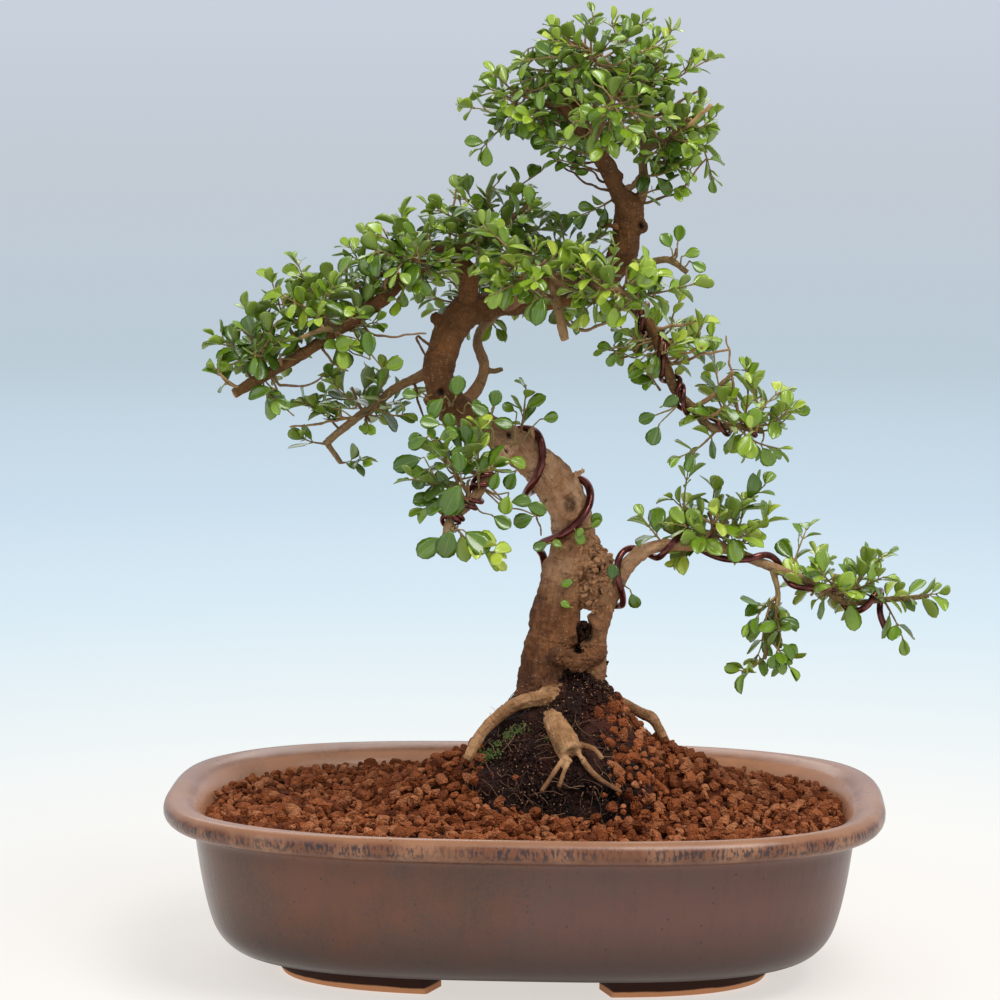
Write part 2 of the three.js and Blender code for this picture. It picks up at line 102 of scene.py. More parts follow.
# Routes. A station counts the points of a route; between them runs a centripetal spline.
def alongRoute(points, stations):
    stations = np.atleast_1d(np.asarray(stations, float))
    last = len(points) - 1
    ends = np.vstack((2 * points[0] - points[1], points, 2 * points[-1] - points[-2]))
    low = np.clip(np.floor(stations).astype(int), 0, last - 1)
    share = (stations - low)[:, None]
    before, start, stop, after = (ends[low + k] for k in range(4))
    g0, g1, g2 = (
        np.maximum(np.linalg.norm(b - a, axis=1), 1e-4)[:, None] ** 0.5
        for a, b in ((before, start), (start, stop), (stop, after))
    )
    step = stop - start
    leave = ((start - before) / g0 - (stop - before) / (g0 + g1) + step / g1) * g1
    arrive = (step / g1 - (after - start) / (g1 + g2) + (after - stop) / g2) * g1
    bend = 3 * step - 2 * leave - arrive
    return start + leave * share + bend * share**2 + (leave + arrive - 2 * step) * share**3


def runAlong(path):
    return np.concatenate(([0], np.cumsum(np.linalg.norm(np.diff(path, axis=0), axis=1))))


def evenStations(points, spacing):
    dense = np.linspace(0, len(points) - 1, 16 * (len(points) - 1) + 1)
    length = runAlong(alongRoute(points, dense))
    count = max(3, int(round(length[-1] / spacing)) + 1)
    return np.interp(np.linspace(0, length[-1], count), length, dense)


def evenly(points, spacing):
    return alongRoute(points, evenStations(points, spacing))


def radiusAt(limb, stations):
    return np.interp(stations, np.arange(len(limb["radii"])), limb["radii"])


def makeLimb(points, radii):
    return {"points": places(points), "radii": np.array(radii, float)}


# Directions along a path and across it, carried on without twist.
def carriedFrames(path):
    tangents = unit(np.gradient(path, axis=0))
    normals = np.empty_like(path)
    current = np.array((0.0, 0.0, 1.0)) if abs(tangents[0][2]) < 0.9 else np.array((1.0, 0.0, 0.0))
    for i, tangent in enumerate(tangents):
        current = current - tangent * np.dot(current, tangent)
        current = current / max(np.linalg.norm(current), 1e-9)
        normals[i] = current
    return tangents, normals, np.cross(tangents, normals)


# A round tube along a path, closed at both ends. Faces are triangles.
def tube(path, radii, sides):
    path = np.asarray(path, float)
    radii = np.broadcast_to(np.asarray(radii, float), (len(path),))
    _, normals, binormals = carriedFrames(path)
    angles = (np.arange(sides) * 2 * math.pi / sides)[None, :, None]
    spokes = np.cos(angles) * normals[:, None] + np.sin(angles) * binormals[:, None]
    rings = path[:, None] + spokes * radii[:, None, None]
    points = np.vstack((rings.reshape(-1, 3), path[0], path[-1]))
    return points, ringFaces(len(path), sides)


def ringFaces(count, sides, closed=True):
    ring = np.arange(sides)
    low = (np.arange(count - 1) * sides)[:, None]
    around = (ring + 1) % sides
    a = low + ring
    b = low + around
    faces = [np.stack(face, -1).reshape(-1, 3) for face in ((a, b, b + sides), (a, b + sides, a + sides))]
    if closed:
        first = count * sides
        last = (count - 1) * sides
        faces.append(np.stack((np.full(sides, first), around, ring), -1))
        faces.append(np.stack((np.full(sides, first + 1), last + ring, last + around), -1))
    return np.vstack(faces)


# Several (points, faces) as one.
def together(parts):
    points = np.vstack([part[0] for part in parts])
    starts = np.cumsum([0] + [len(part[0]) for part in parts])
    return points, np.vstack([part[1] + start for part, start in zip(parts, starts)])


def newObject(name, points, faces, material=None, smooth=True):
    mesh = bpy.data.meshes.new(name)
    mesh.vertices.add(len(points))
    mesh.vertices.foreach_set("co", (np.asarray(points, float) * mm).ravel())
    mesh.loops.add(faces.size)
    mesh.loops.foreach_set("vertex_index", faces.astype(np.int32).ravel())
    mesh.polygons.add(len(faces))
    mesh.polygons.foreach_set("loop_start", np.arange(0, faces.size, faces.shape[1], dtype=np.int32))
    mesh.polygons.foreach_set("use_smooth", np.full(len(faces), smooth))
    mesh.update(calc_edges=True)
    if material:
        mesh.materials.append(material)
    made = bpy.data.objects.new(name, mesh)
    bpy.context.scene.collection.objects.link(made)
    return made


def finishPiece(piece, slot, *nodes):
    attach(piece, "root")
    if nodes:
        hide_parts(*nodes)
    return piece


def mark(piece, name, values, domain="POINT"):
    values = np.asarray(values, np.float32)
    kind = "FLOAT" if values.ndim == 1 else "FLOAT_VECTOR"
    layer = piece.data.attributes.new(name, kind, domain)
    layer.data.foreach_set("value" if values.ndim == 1 else "vector", values.ravel())


def vectorsOf(things, key):
    found = np.empty(len(things) * 3, np.float32)
    things.foreach_get(key, found)
    return found.reshape(-1, 3).astype(float)


def pointsOf(piece):
    return vectorsOf(piece.data.vertices, "co") / mm


def normalsOf(piece):
    return vectorsOf(piece.data.vertex_normals, "vector")


def movePoints(piece, points):
    piece.data.vertices.foreach_set("co", (points * mm).ravel())
    piece.data.update()


def applyModifiers(piece):
    graph = bpy.context.evaluated_depsgraph_get()
    piece.data = bpy.data.meshes.new_from_object(piece.evaluated_get(graph))
    piece.modifiers.clear()


# A soft round mark about a place of the front view: 1 in the middle, falling off by its radius.
def markAbout(points, place, radius, power=2, squash=(1, 1, 1)):
    away = np.linalg.norm((points - at(*place)) * squash, axis=1)
    return np.exp(-((away / radius) ** power))


# Smooth noise between about -1 and 1 whose lumps are about scale millimetres.
def roughness(points, scale, octaves=3, seed=0.0):
    shift = Vector((seed, 2.3 * seed, -1.7 * seed))
    return np.array([noise.fractal(Vector(p) / scale + shift, 0.9, 2.1, octaves) for p in points])


# Materials: small helpers for their nodes.
def rgb(red, green, blue):
    def linear(value):
        share = value / 255
        return share / 12.92 if share <= 0.04045 else ((share + 0.055) / 1.055) ** 2.4
    return (linear(red), linear(green), linear(blue), 1.0)


def put(tree, kind, inputs=None, **settings):
    made = tree.nodes.new(kind)
    for key, value in settings.items():
        setattr(made, key, value)
    fill(tree, made, inputs or {})
    return made


def fill(tree, node, inputs):
    for key, value in inputs.items():
        socket = node.inputs[key]
        if isinstance(value, bpy.types.NodeSocket):
            tree.links.new(value, socket)
        else:
            socket.default_value = value


def maths(tree, operation, first, second=0.0, clamp=False):
    return put(tree, "ShaderNodeMath", {0: first, 1: second}, operation=operation, use_clamp=clamp).outputs[0]


def times(tree, first, second):
    return maths(tree, "MULTIPLY", first, second)


def plus(tree, first, second):
    return maths(tree, "ADD", first, second)


def blend(tree, share, first, second):
    return put(tree, "ShaderNodeMix", {0: share, 6: first, 7: second}, data_type="RGBA").outputs[2]


def between(tree, value, low, high, fromValue=0.0, toValue=1.0):
    inputs = {0: value, 1: low, 2: high, 3: fromValue, 4: toValue}
    return put(tree, "ShaderNodeMapRange", inputs, interpolation_type="SMOOTHSTEP").outputs[0]


def clouds(tree, place, scale, detail=4.0, rough=0.6):
    inputs = {"Vector": place, "Scale": scale, "Detail": detail, "Roughness": rough}
    return put(tree, "ShaderNodeTexNoise", inputs).outputs[0]


def stretched(tree, place, x, y, z):
    return put(tree, "ShaderNodeVectorMath", {0: place, 1: (x, y, z)}, operation="MULTIPLY").outputs[0]


def separate(tree, vector):
    return put(tree, "ShaderNodeSeparateXYZ", {0: vector}).outputs


# A run of colours over a value from 0 to 1.
def ramp(tree, value, stops):
    node = put(tree, "ShaderNodeValToRGB", {0: value})
    made = node.color_ramp.elements
    for i, (position, colour) in enumerate((stops[0], stops[-1])):
        made[i].position = position
        made[i].color = colour
    for position, colour in stops[1:-1]:
        made.new(position).color = colour
    return node.outputs[0]


def painted(tree, name, output="Fac"):
    return put(tree, "ShaderNodeAttribute", attribute_name=name).outputs[output]


def newMaterial(name):
    made = bpy.data.materials.new(name)
    made.use_nodes = True
    tree = made.node_tree
    shader = next(n for n in tree.nodes if n.type == "BSDF_PRINCIPLED")
    place = put(tree, "ShaderNodeTexCoord").outputs["Object"]
    return made, tree, shader, place


def setShader(tree, shader, **values):
    fill(tree, shader, {name.replace("_", " "): value for name, value in values.items()})


def newGroup(name, numbers):
    group = bpy.data.node_groups.new(name, "ShaderNodeTree")
    group.interface.new_socket("Place", in_out="INPUT", socket_type="NodeSocketVector")
    for label in numbers:
        group.interface.new_socket(label, in_out="INPUT", socket_type="NodeSocketFloat")
    group.interface.new_socket("Value", in_out="OUTPUT", socket_type="NodeSocketFloat")
    return group, group.nodes.new("NodeGroupInput").outputs, group.nodes.new("NodeGroupOutput").inputs


def useGroup(tree, group, inputs):
    made = tree.nodes.new("ShaderNodeGroup")
    made.node_tree = group
    fill(tree, made, inputs)
    return made.outputs[0]


# Small scattered spots, such as iron specks in a glaze, bark pores or grit in peat.
def makeSpots():
    group, given, result = newGroup("spots", ("Scale", "Size", "Share"))
    cells = put(group, "ShaderNodeTexVoronoi", {"Vector": given[0], "Scale": given[1]})
    pick = put(group, "ShaderNodeSeparateColor", {0: cells.outputs["Color"]}).outputs[0]
    chosen = maths(group, "LESS_THAN", pick, given[3])
    near = maths(group, "SUBTRACT", given[2], cells.outputs["Distance"])
    soft = maths(group, "MULTIPLY", near, 9.0, clamp=True)
    group.links.new(times(group, chosen, soft), result[0])
    return group


# Two sizes of cloudy variation, from 0 to 1.
def makeMottle():
    group, given, result = newGroup("mottle", ("Scale", "Fine"))
    broad, fine = (
        put(group, "ShaderNodeTexNoise", {"Vector": given[0], "Scale": given[k], "Detail": detail}).outputs[0]
        for k, detail in ((1, 3.0), (2, 4.0))
    )
    total = plus(group, times(group, broad, 0.65), times(group, fine, 0.35))
    group.links.new(between(group, total, 0.36, 0.64), result[0])
    return group


# A crumbly surface for clay, peat and bark: a height for a bump.
def makeCrumble():
    group, given, result = newGroup("crumble", ("Scale", "Pits"))
    where = {"Vector": given[0], "Scale": given[1]}
    lumps = put(group, "ShaderNodeTexNoise", {**where, "Detail": 6.0}).outputs[0]
    cells = put(group, "ShaderNodeTexVoronoi", where).outputs["Distance"]
    group.links.new(plus(group, lumps, times(group, cells, given[2])), result[0])
    return group


spots = makeSpots()
mottle = makeMottle()
crumble = makeCrumble()


def specksOn(tree, place, scale, size, share):
    return useGroup(tree, spots, {"Place": place, "Scale": scale, "Size": size, "Share": share})


def mottled(tree, place, scale, fine):
    return useGroup(tree, mottle, {"Place": place, "Scale": scale, "Fine": fine})


def crumbled(tree, place, scale, pits):
    return useGroup(tree, crumble, {"Place": place, "Scale": scale, "Pits": pits})


def bump(tree, shader, height, strength, distance):
    made = put(tree, "ShaderNodeBump", {"Height": height, "Strength": strength, "Distance": distance * mm})
    tree.links.new(made.outputs[0], shader.inputs["Normal"])


# The pot's glaze: brown with mauve clouds, tan where it thins on the lip, bare clay under the feet.
glaze = {
    "brown": rgb(80, 58, 47),
    "red": rgb(114, 64, 38),
    "mauve": rgb(94, 70, 68),
    "dark": rgb(42, 25, 17),
    "lip": rgb(116, 68, 40),
    "lipPale": rgb(152, 106, 76),
    "inside": rgb(188, 134, 100),
    "streak": rgb(40, 32, 38),
    "foot": rgb(46, 22, 13),
    "clay": rgb(196, 138, 98),
}
# Heights on the pot, in millimetres, over which one look of the glaze turns into the next.
glazeLevels = {
    # Painted shade: the body's glaze turns darker toward the bottom.
    "shadeBelow": (50.0, 14.0),
    "lip": (70.0, 74.5),
    # A painted highlight along the rim's crest.
    "crestHighlight": (77.0, 79.4),
    "bandLow": (70.0, 73.6),
    "bandHigh": (78.6, 76.0),
    # Painted shade under the rim's bead.
    "shadeUnderLip": (72.6, 69.6),
    "inside": (79.0, 76.0),
    # The underside above the feet: a dull dark glaze with painted shade.
    "seam": (15.5, 11.5),
    "foot": (10.8, 9.6),
    "bareClay": (4.6, 3.6),
}


def potGlaze(name, gloss):
    material, tree, shader, place = newMaterial(name)
    centred = put(tree, "ShaderNodeVectorMath", {0: place, 1: (-potX * mm, 0, 0)}, operation="ADD").outputs[0]
    height = times(tree, separate(tree, centred)[2], 1000.0)

    def level(which, value=height, most=1.0):
        return between(tree, value, *glazeLevels[which], 0.0, most)

    def over(mask, under, colour, share=None):
        return blend(tree, mask if share is None else times(tree, mask, share), under, glaze[colour])

    cloud = mottled(tree, centred, 9.0, 46.0)
    runs = clouds(tree, stretched(tree, centred, 1, 1, 0.12), 240.0, 4.0)
    wander = times(tree, clouds(tree, centred, 60.0), 5.0)
    body = blend(tree, cloud, glaze["brown"], glaze["red"])
    body = over(between(tree, clouds(tree, centred, 7.0, 2.0), 0.46, 0.62), body, "mauve", 0.65)
    body = over(between(tree, runs, 0.46, 0.74, 0.0, 0.16), body, "dark")
    speckle = between(tree, clouds(tree, centred, 760.0, 3.0), 0.4, 0.6, 0.0, 0.36)
    body = over(speckle, body, "lip")
    # Painted shade: the body darkens toward the bottom.
    body = over(level("shadeBelow", plus(tree, height, wander)), body, "dark", 0.85)
    lip = over(between(tree, clouds(tree, centred, 40.0), 0.4, 0.65), glaze["lip"], "lipPale")
    # A painted highlight: the rim's crest is paler.
    lip = over(level("crestHighlight", most=0.8), lip, "lipPale")
    marks = clouds(tree, stretched(tree, centred, 1, 1, 0.34), 760.0, 3.0)
    band = times(tree, level("bandLow"), level("bandHigh"))
    patches = between(tree, clouds(tree, centred, 30.0, 3.0), 0.32, 0.54, 0.3, 0.85)
    lip = over(times(tree, between(tree, marks, 0.47, 0.58), times(tree, band, patches)), lip, "streak")
    # Painted shade darkens the lip's flare under the bead.
    lip = over(level("shadeUnderLip", plus(tree, height, runs), 0.55), lip, "dark")
    colour = blend(tree, level("lip", plus(tree, height, times(tree, runs, 4.0))), body, lip)
    # The painted value marks the pot's inside.
    inner = blend(tree, cloud, glaze["inside"], glaze["lipPale"])
    colour = blend(tree, times(tree, painted(tree, "inside"), level("inside")), colour, inner)
    colour = over(specksOn(tree, centred, 420.0, 0.3, 0.05), colour, "streak", 0.55)
    # The underside above the feet: dull dark glaze and painted shade.
    seam = level("seam", most=0.85)
    colour = over(seam, colour, "foot")
    colour = over(level("foot"), colour, "foot")
    bare = level("bareClay", plus(tree, height, times(tree, wander, 0.35)))
    colour = over(bare, colour, "clay")
    sheen = between(tree, cloud, 0.0, 1.0, 0.22, 0.36)
    sheen = blend(tree, seam, sheen, (0.8, 0.8, 0.8, 1))
    sheen = blend(tree, bare, sheen, (0.85, 0.85, 0.85, 1))
    setShader(tree, shader, Base_Color=colour, Roughness=sheen, Specular_IOR_Level=gloss)
    bump(tree, shader, plus(tree, times(tree, clouds(tree, centred, 260.0, 2.0), 0.6), runs), 0.22, 0.5)
    return material


clay = {
    "run": [(0.0, rgb(90, 41, 18)), (0.5, rgb(160, 88, 48)), (1.0, rgb(196, 128, 86))],
    "shade": rgb(66, 29, 13),
    "dust": rgb(196, 140, 104),
}


def clayGranules():
    material, tree, shader, place = newMaterial("clayGranules")
    cloud = mottled(tree, place, 180.0, 900.0)
    colour = ramp(tree, painted(tree, "tone"), clay["run"])
    colour = blend(tree, times(tree, cloud, 0.45), colour, clay["shade"])
    colour = blend(tree, times(tree, specksOn(tree, place, 1500.0, 0.3, 0.2), 0.35), colour, clay["dust"])
    setShader(tree, shader, Base_Color=colour, Roughness=0.95, Specular_IOR_Level=0.15)
    bump(tree, shader, crumbled(tree, place, 1000.0, 1.1), 1.0, 0.9)
    return material


peat = {"dark": rgb(10, 6, 5), "brown": rgb(54, 30, 21), "fibre": rgb(88, 42, 26), "grit": rgb(190, 172, 160)}


def peatMix():
    material, tree, shader, place = newMaterial("peat")
    colour = blend(tree, mottled(tree, place, 110.0, 1100.0), peat["dark"], peat["brown"])
    colour = blend(tree, times(tree, painted(tree, "fibrous"), 0.8), colour, peat["fibre"])
    colour = blend(tree, times(tree, specksOn(tree, place, 620.0, 0.17, 0.12), 0.85), colour, peat["grit"])
    setShader(tree, shader, Base_Color=colour, Roughness=0.9, Specular_IOR_Level=0.25)
    bump(tree, shader, crumbled(tree, place, 760.0, 1.0), 1.0, 1.5)
    return material


hair = {"dark": rgb(74, 42, 28), "pale": rgb(168, 128, 90), "shade": rgb(60, 34, 24)}


def rootHair():
    material, tree, shader, place = newMaterial("rootHair")
    colour = blend(tree, painted(tree, "tone"), hair["dark"], hair["pale"])
    colour = blend(tree, times(tree, clouds(tree, place, 300.0), 0.5), colour, hair["shade"])
    setShader(tree, shader, Base_Color=colour, Roughness=0.8)
    return material


def mossGreen():
    material, tree, shader, place = newMaterial("moss")
    colour = blend(tree, clouds(tree, place, 500.0), rgb(34, 52, 18), rgb(98, 116, 42))
    setShader(tree, shader, Base_Color=colour, Roughness=0.85)
    bump(tree, shader, clouds(tree, place, 1400.0), 0.5, 0.4)
    return material


# Bark is drawn in the coordinates of a limb laid out straight, so that its grain follows every bend.
bark = {
    "tan": rgb(208, 166, 127),
    "brown": rgb(165, 116, 79),
    # The darker colours of the upper wood are painted shade.
    "upper": rgb(128, 82, 44),
    "upperDark": rgb(92, 58, 30),
    "low": rgb(128, 81, 46),
    "lowDark": rgb(78, 44, 24),
    "green": rgb(104, 100, 58),
    "pale": rgb(206, 176, 140),
    "dark": rgb(58, 36, 24),
    # Near black: painted shade inside holes. The same colour gives dark patches on the burl and its chips.
    "hollow": rgb(26, 16, 11),
    "cut": rgb(190, 150, 108),
    "root": rgb(192, 146, 102),
    "rootDark": rgb(136, 94, 58),
    "torn": rgb(196, 144, 100),
    "moss": rgb(92, 96, 44),
    "upperFrom": (0.24, 0.275),     # metres above the floor
    "lowFrom": (0.212, 0.174),
}


def barkSkin():
    material, tree, shader, place = newMaterial("bark")
    straight = painted(tree, "straight", "Vector")
    cloud = mottled(tree, place, 45.0, 220.0)

    def mix(name):
        return blend(tree, cloud, bark[name], bark[name + "Dark"])

    def over(mask, share, paint):
        return blend(tree, times(tree, mask, share), colour, bark[paint])

    level = plus(tree, separate(tree, place)[2], times(tree, clouds(tree, place, 30.0), 0.03))
    colour = blend(tree, cloud, bark["tan"], bark["brown"])
    # Higher up the wood turns darker: painted shade.
    colour = blend(tree, between(tree, level, *bark["upperFrom"]), colour, mix("upper"))
    colour = blend(tree, between(tree, level, *bark["lowFrom"]), colour, mix("low"))
    colour = blend(tree, painted(tree, "root"), colour, mix("root"))
    colour = over(painted(tree, "torn"), 0.75, "torn")
    streaky = clouds(tree, stretched(tree, straight, 1, 1, 0.12), 0.16, 3.0)
    colour = blend(tree, between(tree, streaky, 0.5, 0.68, 0.0, 0.32), colour, bark["lowDark"])
    colour = over(painted(tree, "young"), 0.55, "green")
    # Fine wrinkles run along the limb, and pale pores lie across it.
    wrinkles = clouds(tree, stretched(tree, straight, 1, 1, 0.2), 1.3, 4.0)
    colour = blend(tree, between(tree, wrinkles, 0.5, 0.72, 0.0, 0.5), colour, bark["dark"])
    pores = specksOn(tree, stretched(tree, straight, 0.55, 0.55, 1.6), 1.0, 0.26, 0.32)
    colour = over(pores, 0.6, "pale")
    rings = clouds(tree, stretched(tree, straight, 0.12, 0.12, 1.0), 0.8, 3.0)
    colour = blend(tree, between(tree, rings, 0.56, 0.7, 0.0, 0.4), colour, bark["dark"])
    # Painted shade darkens the holes. The same value darkens patches on the burl and its chips.
    colour = blend(tree, painted(tree, "hollow"), colour, bark["hollow"])
    sawn = blend(tree, clouds(tree, place, 1500.0), bark["cut"], bark["brown"])
    colour = blend(tree, painted(tree, "cut"), colour, sawn)
    patches = times(tree, painted(tree, "mossy"), between(tree, clouds(tree, place, 260.0), 0.45, 0.6))
    colour = over(patches, 0.7, "moss")
    setShader(tree, shader, Base_Color=colour, Roughness=0.8, Specular_IOR_Level=0.25)
    relief = plus(tree, times(tree, wrinkles, 0.8), times(tree, rings, 0.7))
    relief = plus(tree, relief, times(tree, pores, 0.35))
    bump(tree, shader, plus(tree, relief, crumbled(tree, place, 520.0, 0.3)), 0.7, 0.9)
    return material


twigPaint = {
    "dark": rgb(92, 58, 32),
    "pale": rgb(184, 142, 92),
    "young": rgb(128, 138, 62),
    "marks": rgb(64, 42, 28),
}


def twigSkin():
    material, tree, shader, place = newMaterial("twigBark")
    colour = blend(tree, painted(tree, "tone"), twigPaint["dark"], twigPaint["pale"])
    colour = blend(tree, times(tree, painted(tree, "young"), 0.8), colour, twigPaint["young"])
    marks = between(tree, clouds(tree, place, 700.0), 0.5, 0.75, 0.0, 0.6)
    colour = blend(tree, marks, colour, twigPaint["marks"])
    setShader(tree, shader, Base_Color=colour, Roughness=0.7)
    bump(tree, shader, clouds(tree, place, 1500.0), 0.4, 0.3)
    return material


# Copper-brown anodised aluminium with a few rubbed places, bright where it is cut.
wirePaint = {
    "copper": rgb(120, 68, 62),
    "dark": rgb(82, 42, 38),
    "rubbed": rgb(196, 150, 140),
    "cut": rgb(222, 220, 218),
}


def anodisedWire():
    material, tree, shader, place = newMaterial("anodisedWire")
    cloud = between(tree, clouds(tree, place, 160.0, 3.0), 0.4, 0.65)
    colour = blend(tree, cloud, wirePaint["copper"], wirePaint["dark"])
    rubbed = times(tree, specksOn(tree, place, 240.0, 0.25, 0.12), 0.5)
    colour = blend(tree, rubbed, colour, wirePaint["rubbed"])
    colour = blend(tree, painted(tree, "cut"), colour, wirePaint["cut"])
    sheen = between(tree, clouds(tree, place, 500.0), 0.3, 0.7, 0.17, 0.28)
    setShader(tree, shader, Base_Color=colour, Roughness=sheen, Metallic=0.85)
    bump(tree, shader, clouds(tree, place, 900.0, 2.0), 0.12, 0.2)
    return material


# Leaf blades: dark and glossy when old, yellow-green when young, with a pale midrib and a dull underside.
leafPaint = {
    "old": rgb(34, 62, 11),
    "grown": rgb(106, 139, 23),
    "fresh": rgb(158, 185, 44),
    "youngest": rgb(198, 213, 76),
    "rib": rgb(178, 190, 92),
    "under": rgb(140, 156, 62),
    "run": ((0.0, "old"), (0.45, "grown"), (0.78, "fresh"), (1.0, "youngest")),
}


def leafBlade():
    material, tree, shader, place = newMaterial("leafBlade")
    across, along, _ = separate(tree, painted(tree, "blade", "Vector"))
    stops = [(share, leafPaint[name]) for share, name in leafPaint["run"]]
    colour = ramp(tree, painted(tree, "tone"), stops)
    colour = blend(tree, times(tree, clouds(tree, place, 320.0), 0.3), colour, leafPaint["old"])
    side = maths(tree, "ABSOLUTE", across)
    rib = between(tree, side, 0.085, 0.03)
    slant = maths(tree, "SUBTRACT", times(tree, along, 9.0), times(tree, side, 3.2))
    veins = between(tree, maths(tree, "ABSOLUTE", maths(tree, "SINE", times(tree, slant, math.pi))), 0.2, 0.0)
    lines = maths(tree, "MAXIMUM", rib, times(tree, veins, 0.08))
    colour = blend(tree, times(tree, lines, 0.13), colour, leafPaint["rib"])
    under = painted(tree, "under")
    colour = blend(tree, times(tree, under, 0.55), colour, leafPaint["under"])
    shine = between(tree, clouds(tree, place, 250.0), 0.35, 0.65, 0.2, 0.32)
    shine = plus(tree, shine, times(tree, under, 0.25))
    setShader(tree, shader, Base_Color=colour, Roughness=shine, Coat_Weight=0.5, Coat_Roughness=0.2)
    bump(tree, shader, maths(tree, "SUBTRACT", clouds(tree, place, 900.0, 2.0), lines), 0.18, 0.2)
    return material


def netPlastic():
    material, tree, shader, place = newMaterial("netPlastic")
    colour = blend(tree, clouds(tree, place, 300.0), rgb(28, 32, 36), rgb(50, 54, 58))
    dust = between(tree, clouds(tree, place, 900.0), 0.52, 0.7, 0.0, 0.6)
    setShader(tree, shader, Base_Color=blend(tree, dust, colour, rgb(128, 82, 58)), Roughness=0.6)
    bump(tree, shader, clouds(tree, place, 1200.0), 0.2, 0.2)
    return material


def clipMetal():
    material, tree, shader, place = newMaterial("clipMetal")
    colour = blend(tree, clouds(tree, place, 400.0), rgb(172, 174, 178), rgb(134, 136, 140))
    sheen = between(tree, clouds(tree, place, 800.0), 0.3, 0.7, 0.28, 0.5)
    setShader(tree, shader, Base_Color=colour, Roughness=sheen, Metallic=0.95)
    bump(tree, shader, clouds(tree, place, 1500.0), 0.15, 0.1)
    return material


print("materials")
potMaterial = potGlaze("potGlaze", 0.5)
footMaterial = potGlaze("footGlaze", 0.12)     # dull, where the glaze ran thin
grainMaterial = clayGranules()
peatMaterial = peatMix()
hairMaterial = rootHair()
mossMaterial = mossGreen()
barkMaterial = barkSkin()
twigMaterial = twigSkin()
wireMaterial = anodisedWire()
leafMaterial = leafBlade()
netMaterial = netPlastic()
clipMaterial = clipMetal()
for side in ("left", "right"):
    for node, material in ((f"drain_net_{side}", netMaterial), (f"net_clip_{side}", clipMaterial)):
        data = frame["nodes"][node].data
        data.materials.clear()
        data.materials.append(material)


# The pot. Its section gives how far each ring lies inside the rim's oval, and its height.
pot = {
    "halfLength": 160,
    "halfWidth": 113,
    "ovalPower": 2.97,
    "around": 248,
    "outside": [
        (43, 10), (36, 11.2), (30, 13.6), (25.6, 17.4), (22.2, 22.6), (19.4, 31), (16.6, 44), (14.3, 59),
        (13.2, 66.4), (10.6, 68.8), (6, 69.4), (2.4, 70.6), (0.3, 73.6), (0.5, 77.2), (2.6, 79.5), (5, 80),
        (9, 79.2),
    ],
    "inside": [(13.4, 77), (16.5, 72.5), (19.4, 64), (23.5, 42), (28.5, 28), (39, 17.6), (50, 17)],
    "holeRadius": 7,
    "holeSpacing": 96,
    "footOutside": [(68, 0), (53.5, 0), (51.6, 0.7), (50.3, 3), (47.3, 7.5), (45, 11), (68, 11)],
    "halfGapFront": 43,
    "halfGapEnd": 17,
    "footSteps": 46,
    "fineness": 1.6,
    "closing": (0.25, 0.6, 0.85),       # rings of the flat bottom, inside and out
    "uneven": ((0.35, 2, 0.6), (0.2, 5, 0)),        # a hand-made lip is never quite level
    "unevenFrom": 60,
    "height": 80,
}


def ovalAngles(count):
    dense = np.linspace(0, 2 * math.pi, 4001)
    x, y = ovalPoint(dense, 0)
    length = np.concatenate(([0], np.cumsum(np.hypot(np.diff(x), np.diff(y)))))
    return np.interp(np.arange(count) / count * length[-1], length, dense)


def ovalPoint(angles, inset):
    power = 2 / pot["ovalPower"]
    cosine = np.cos(angles)
    sine = np.sin(angles)
    x = (pot["halfLength"] - inset) * np.sign(cosine) * np.abs(cosine) ** power
    y = (pot["halfWidth"] - inset) * np.sign(sine) * np.abs(sine) ** power
    return x, y


def insideOval(x, y, inset):
    power = pot["ovalPower"]
    away = np.abs((x - potX) / (pot["halfLength"] - inset)) ** power
    return away + np.abs(y / (pot["halfWidth"] - inset)) ** power < 1


def makePot():
    outside, inside = (evenly(np.array(pot[part], float), pot["fineness"]) for part in ("outside", "inside"))
    profile = np.vstack((outside, inside))
    angles = ovalAngles(pot["around"])

    def bottomRing(shrink, inset, height):
        x, y = ovalPoint(angles, inset)
        return np.stack((x * shrink, y * shrink, np.full_like(x, height)), -1)

    uneven = sum(size * np.sin(waves * angles + start) for size, waves, start in pot["uneven"])
    top = pot["height"]
    rings = [bottomRing(shrink, *profile[0]) for shrink in pot["closing"]]
    for inset, height in profile:
        x, y = ovalPoint(angles, inset)
        lift = uneven * np.clip((height - pot["unevenFrom"]) / 20, 0, 1) * (height < top - 0.1)
        rings.append(np.stack((x, y, height + np.minimum(lift, top - height)), -1))
    rings = np.array(rings + [bottomRing(shrink, *profile[-1]) for shrink in pot["closing"][::-1]])
    points = np.vstack((rings.reshape(-1, 3), (0, 0, profile[0][1]), (0, 0, profile[-1][1])))
    inward = np.zeros(len(points))
    inward[(len(pot["closing"]) + len(outside)) * pot["around"]:] = 1
    points[:, 0] += potX
    body = newObject("potBody", points, ringFaces(len(rings), pot["around"]), potMaterial)
    mark(body, "inside", inward)
    for sideways in (-1, 1):
        drill = [(potX + sideways * pot["holeSpacing"] / 2, 0, z) for z in (2.0, 8.0, 14.0, 24.0)]
        cutter = newObject("drill", *tube(drill, pot["holeRadius"], 40))
        cut = body.modifiers.new("hole", "BOOLEAN")
        cut.object = cutter
        cut.operation = "DIFFERENCE"
        cut.solver = "EXACT"
        applyModifiers(body)
        bpy.data.objects.remove(cutter)
    return body


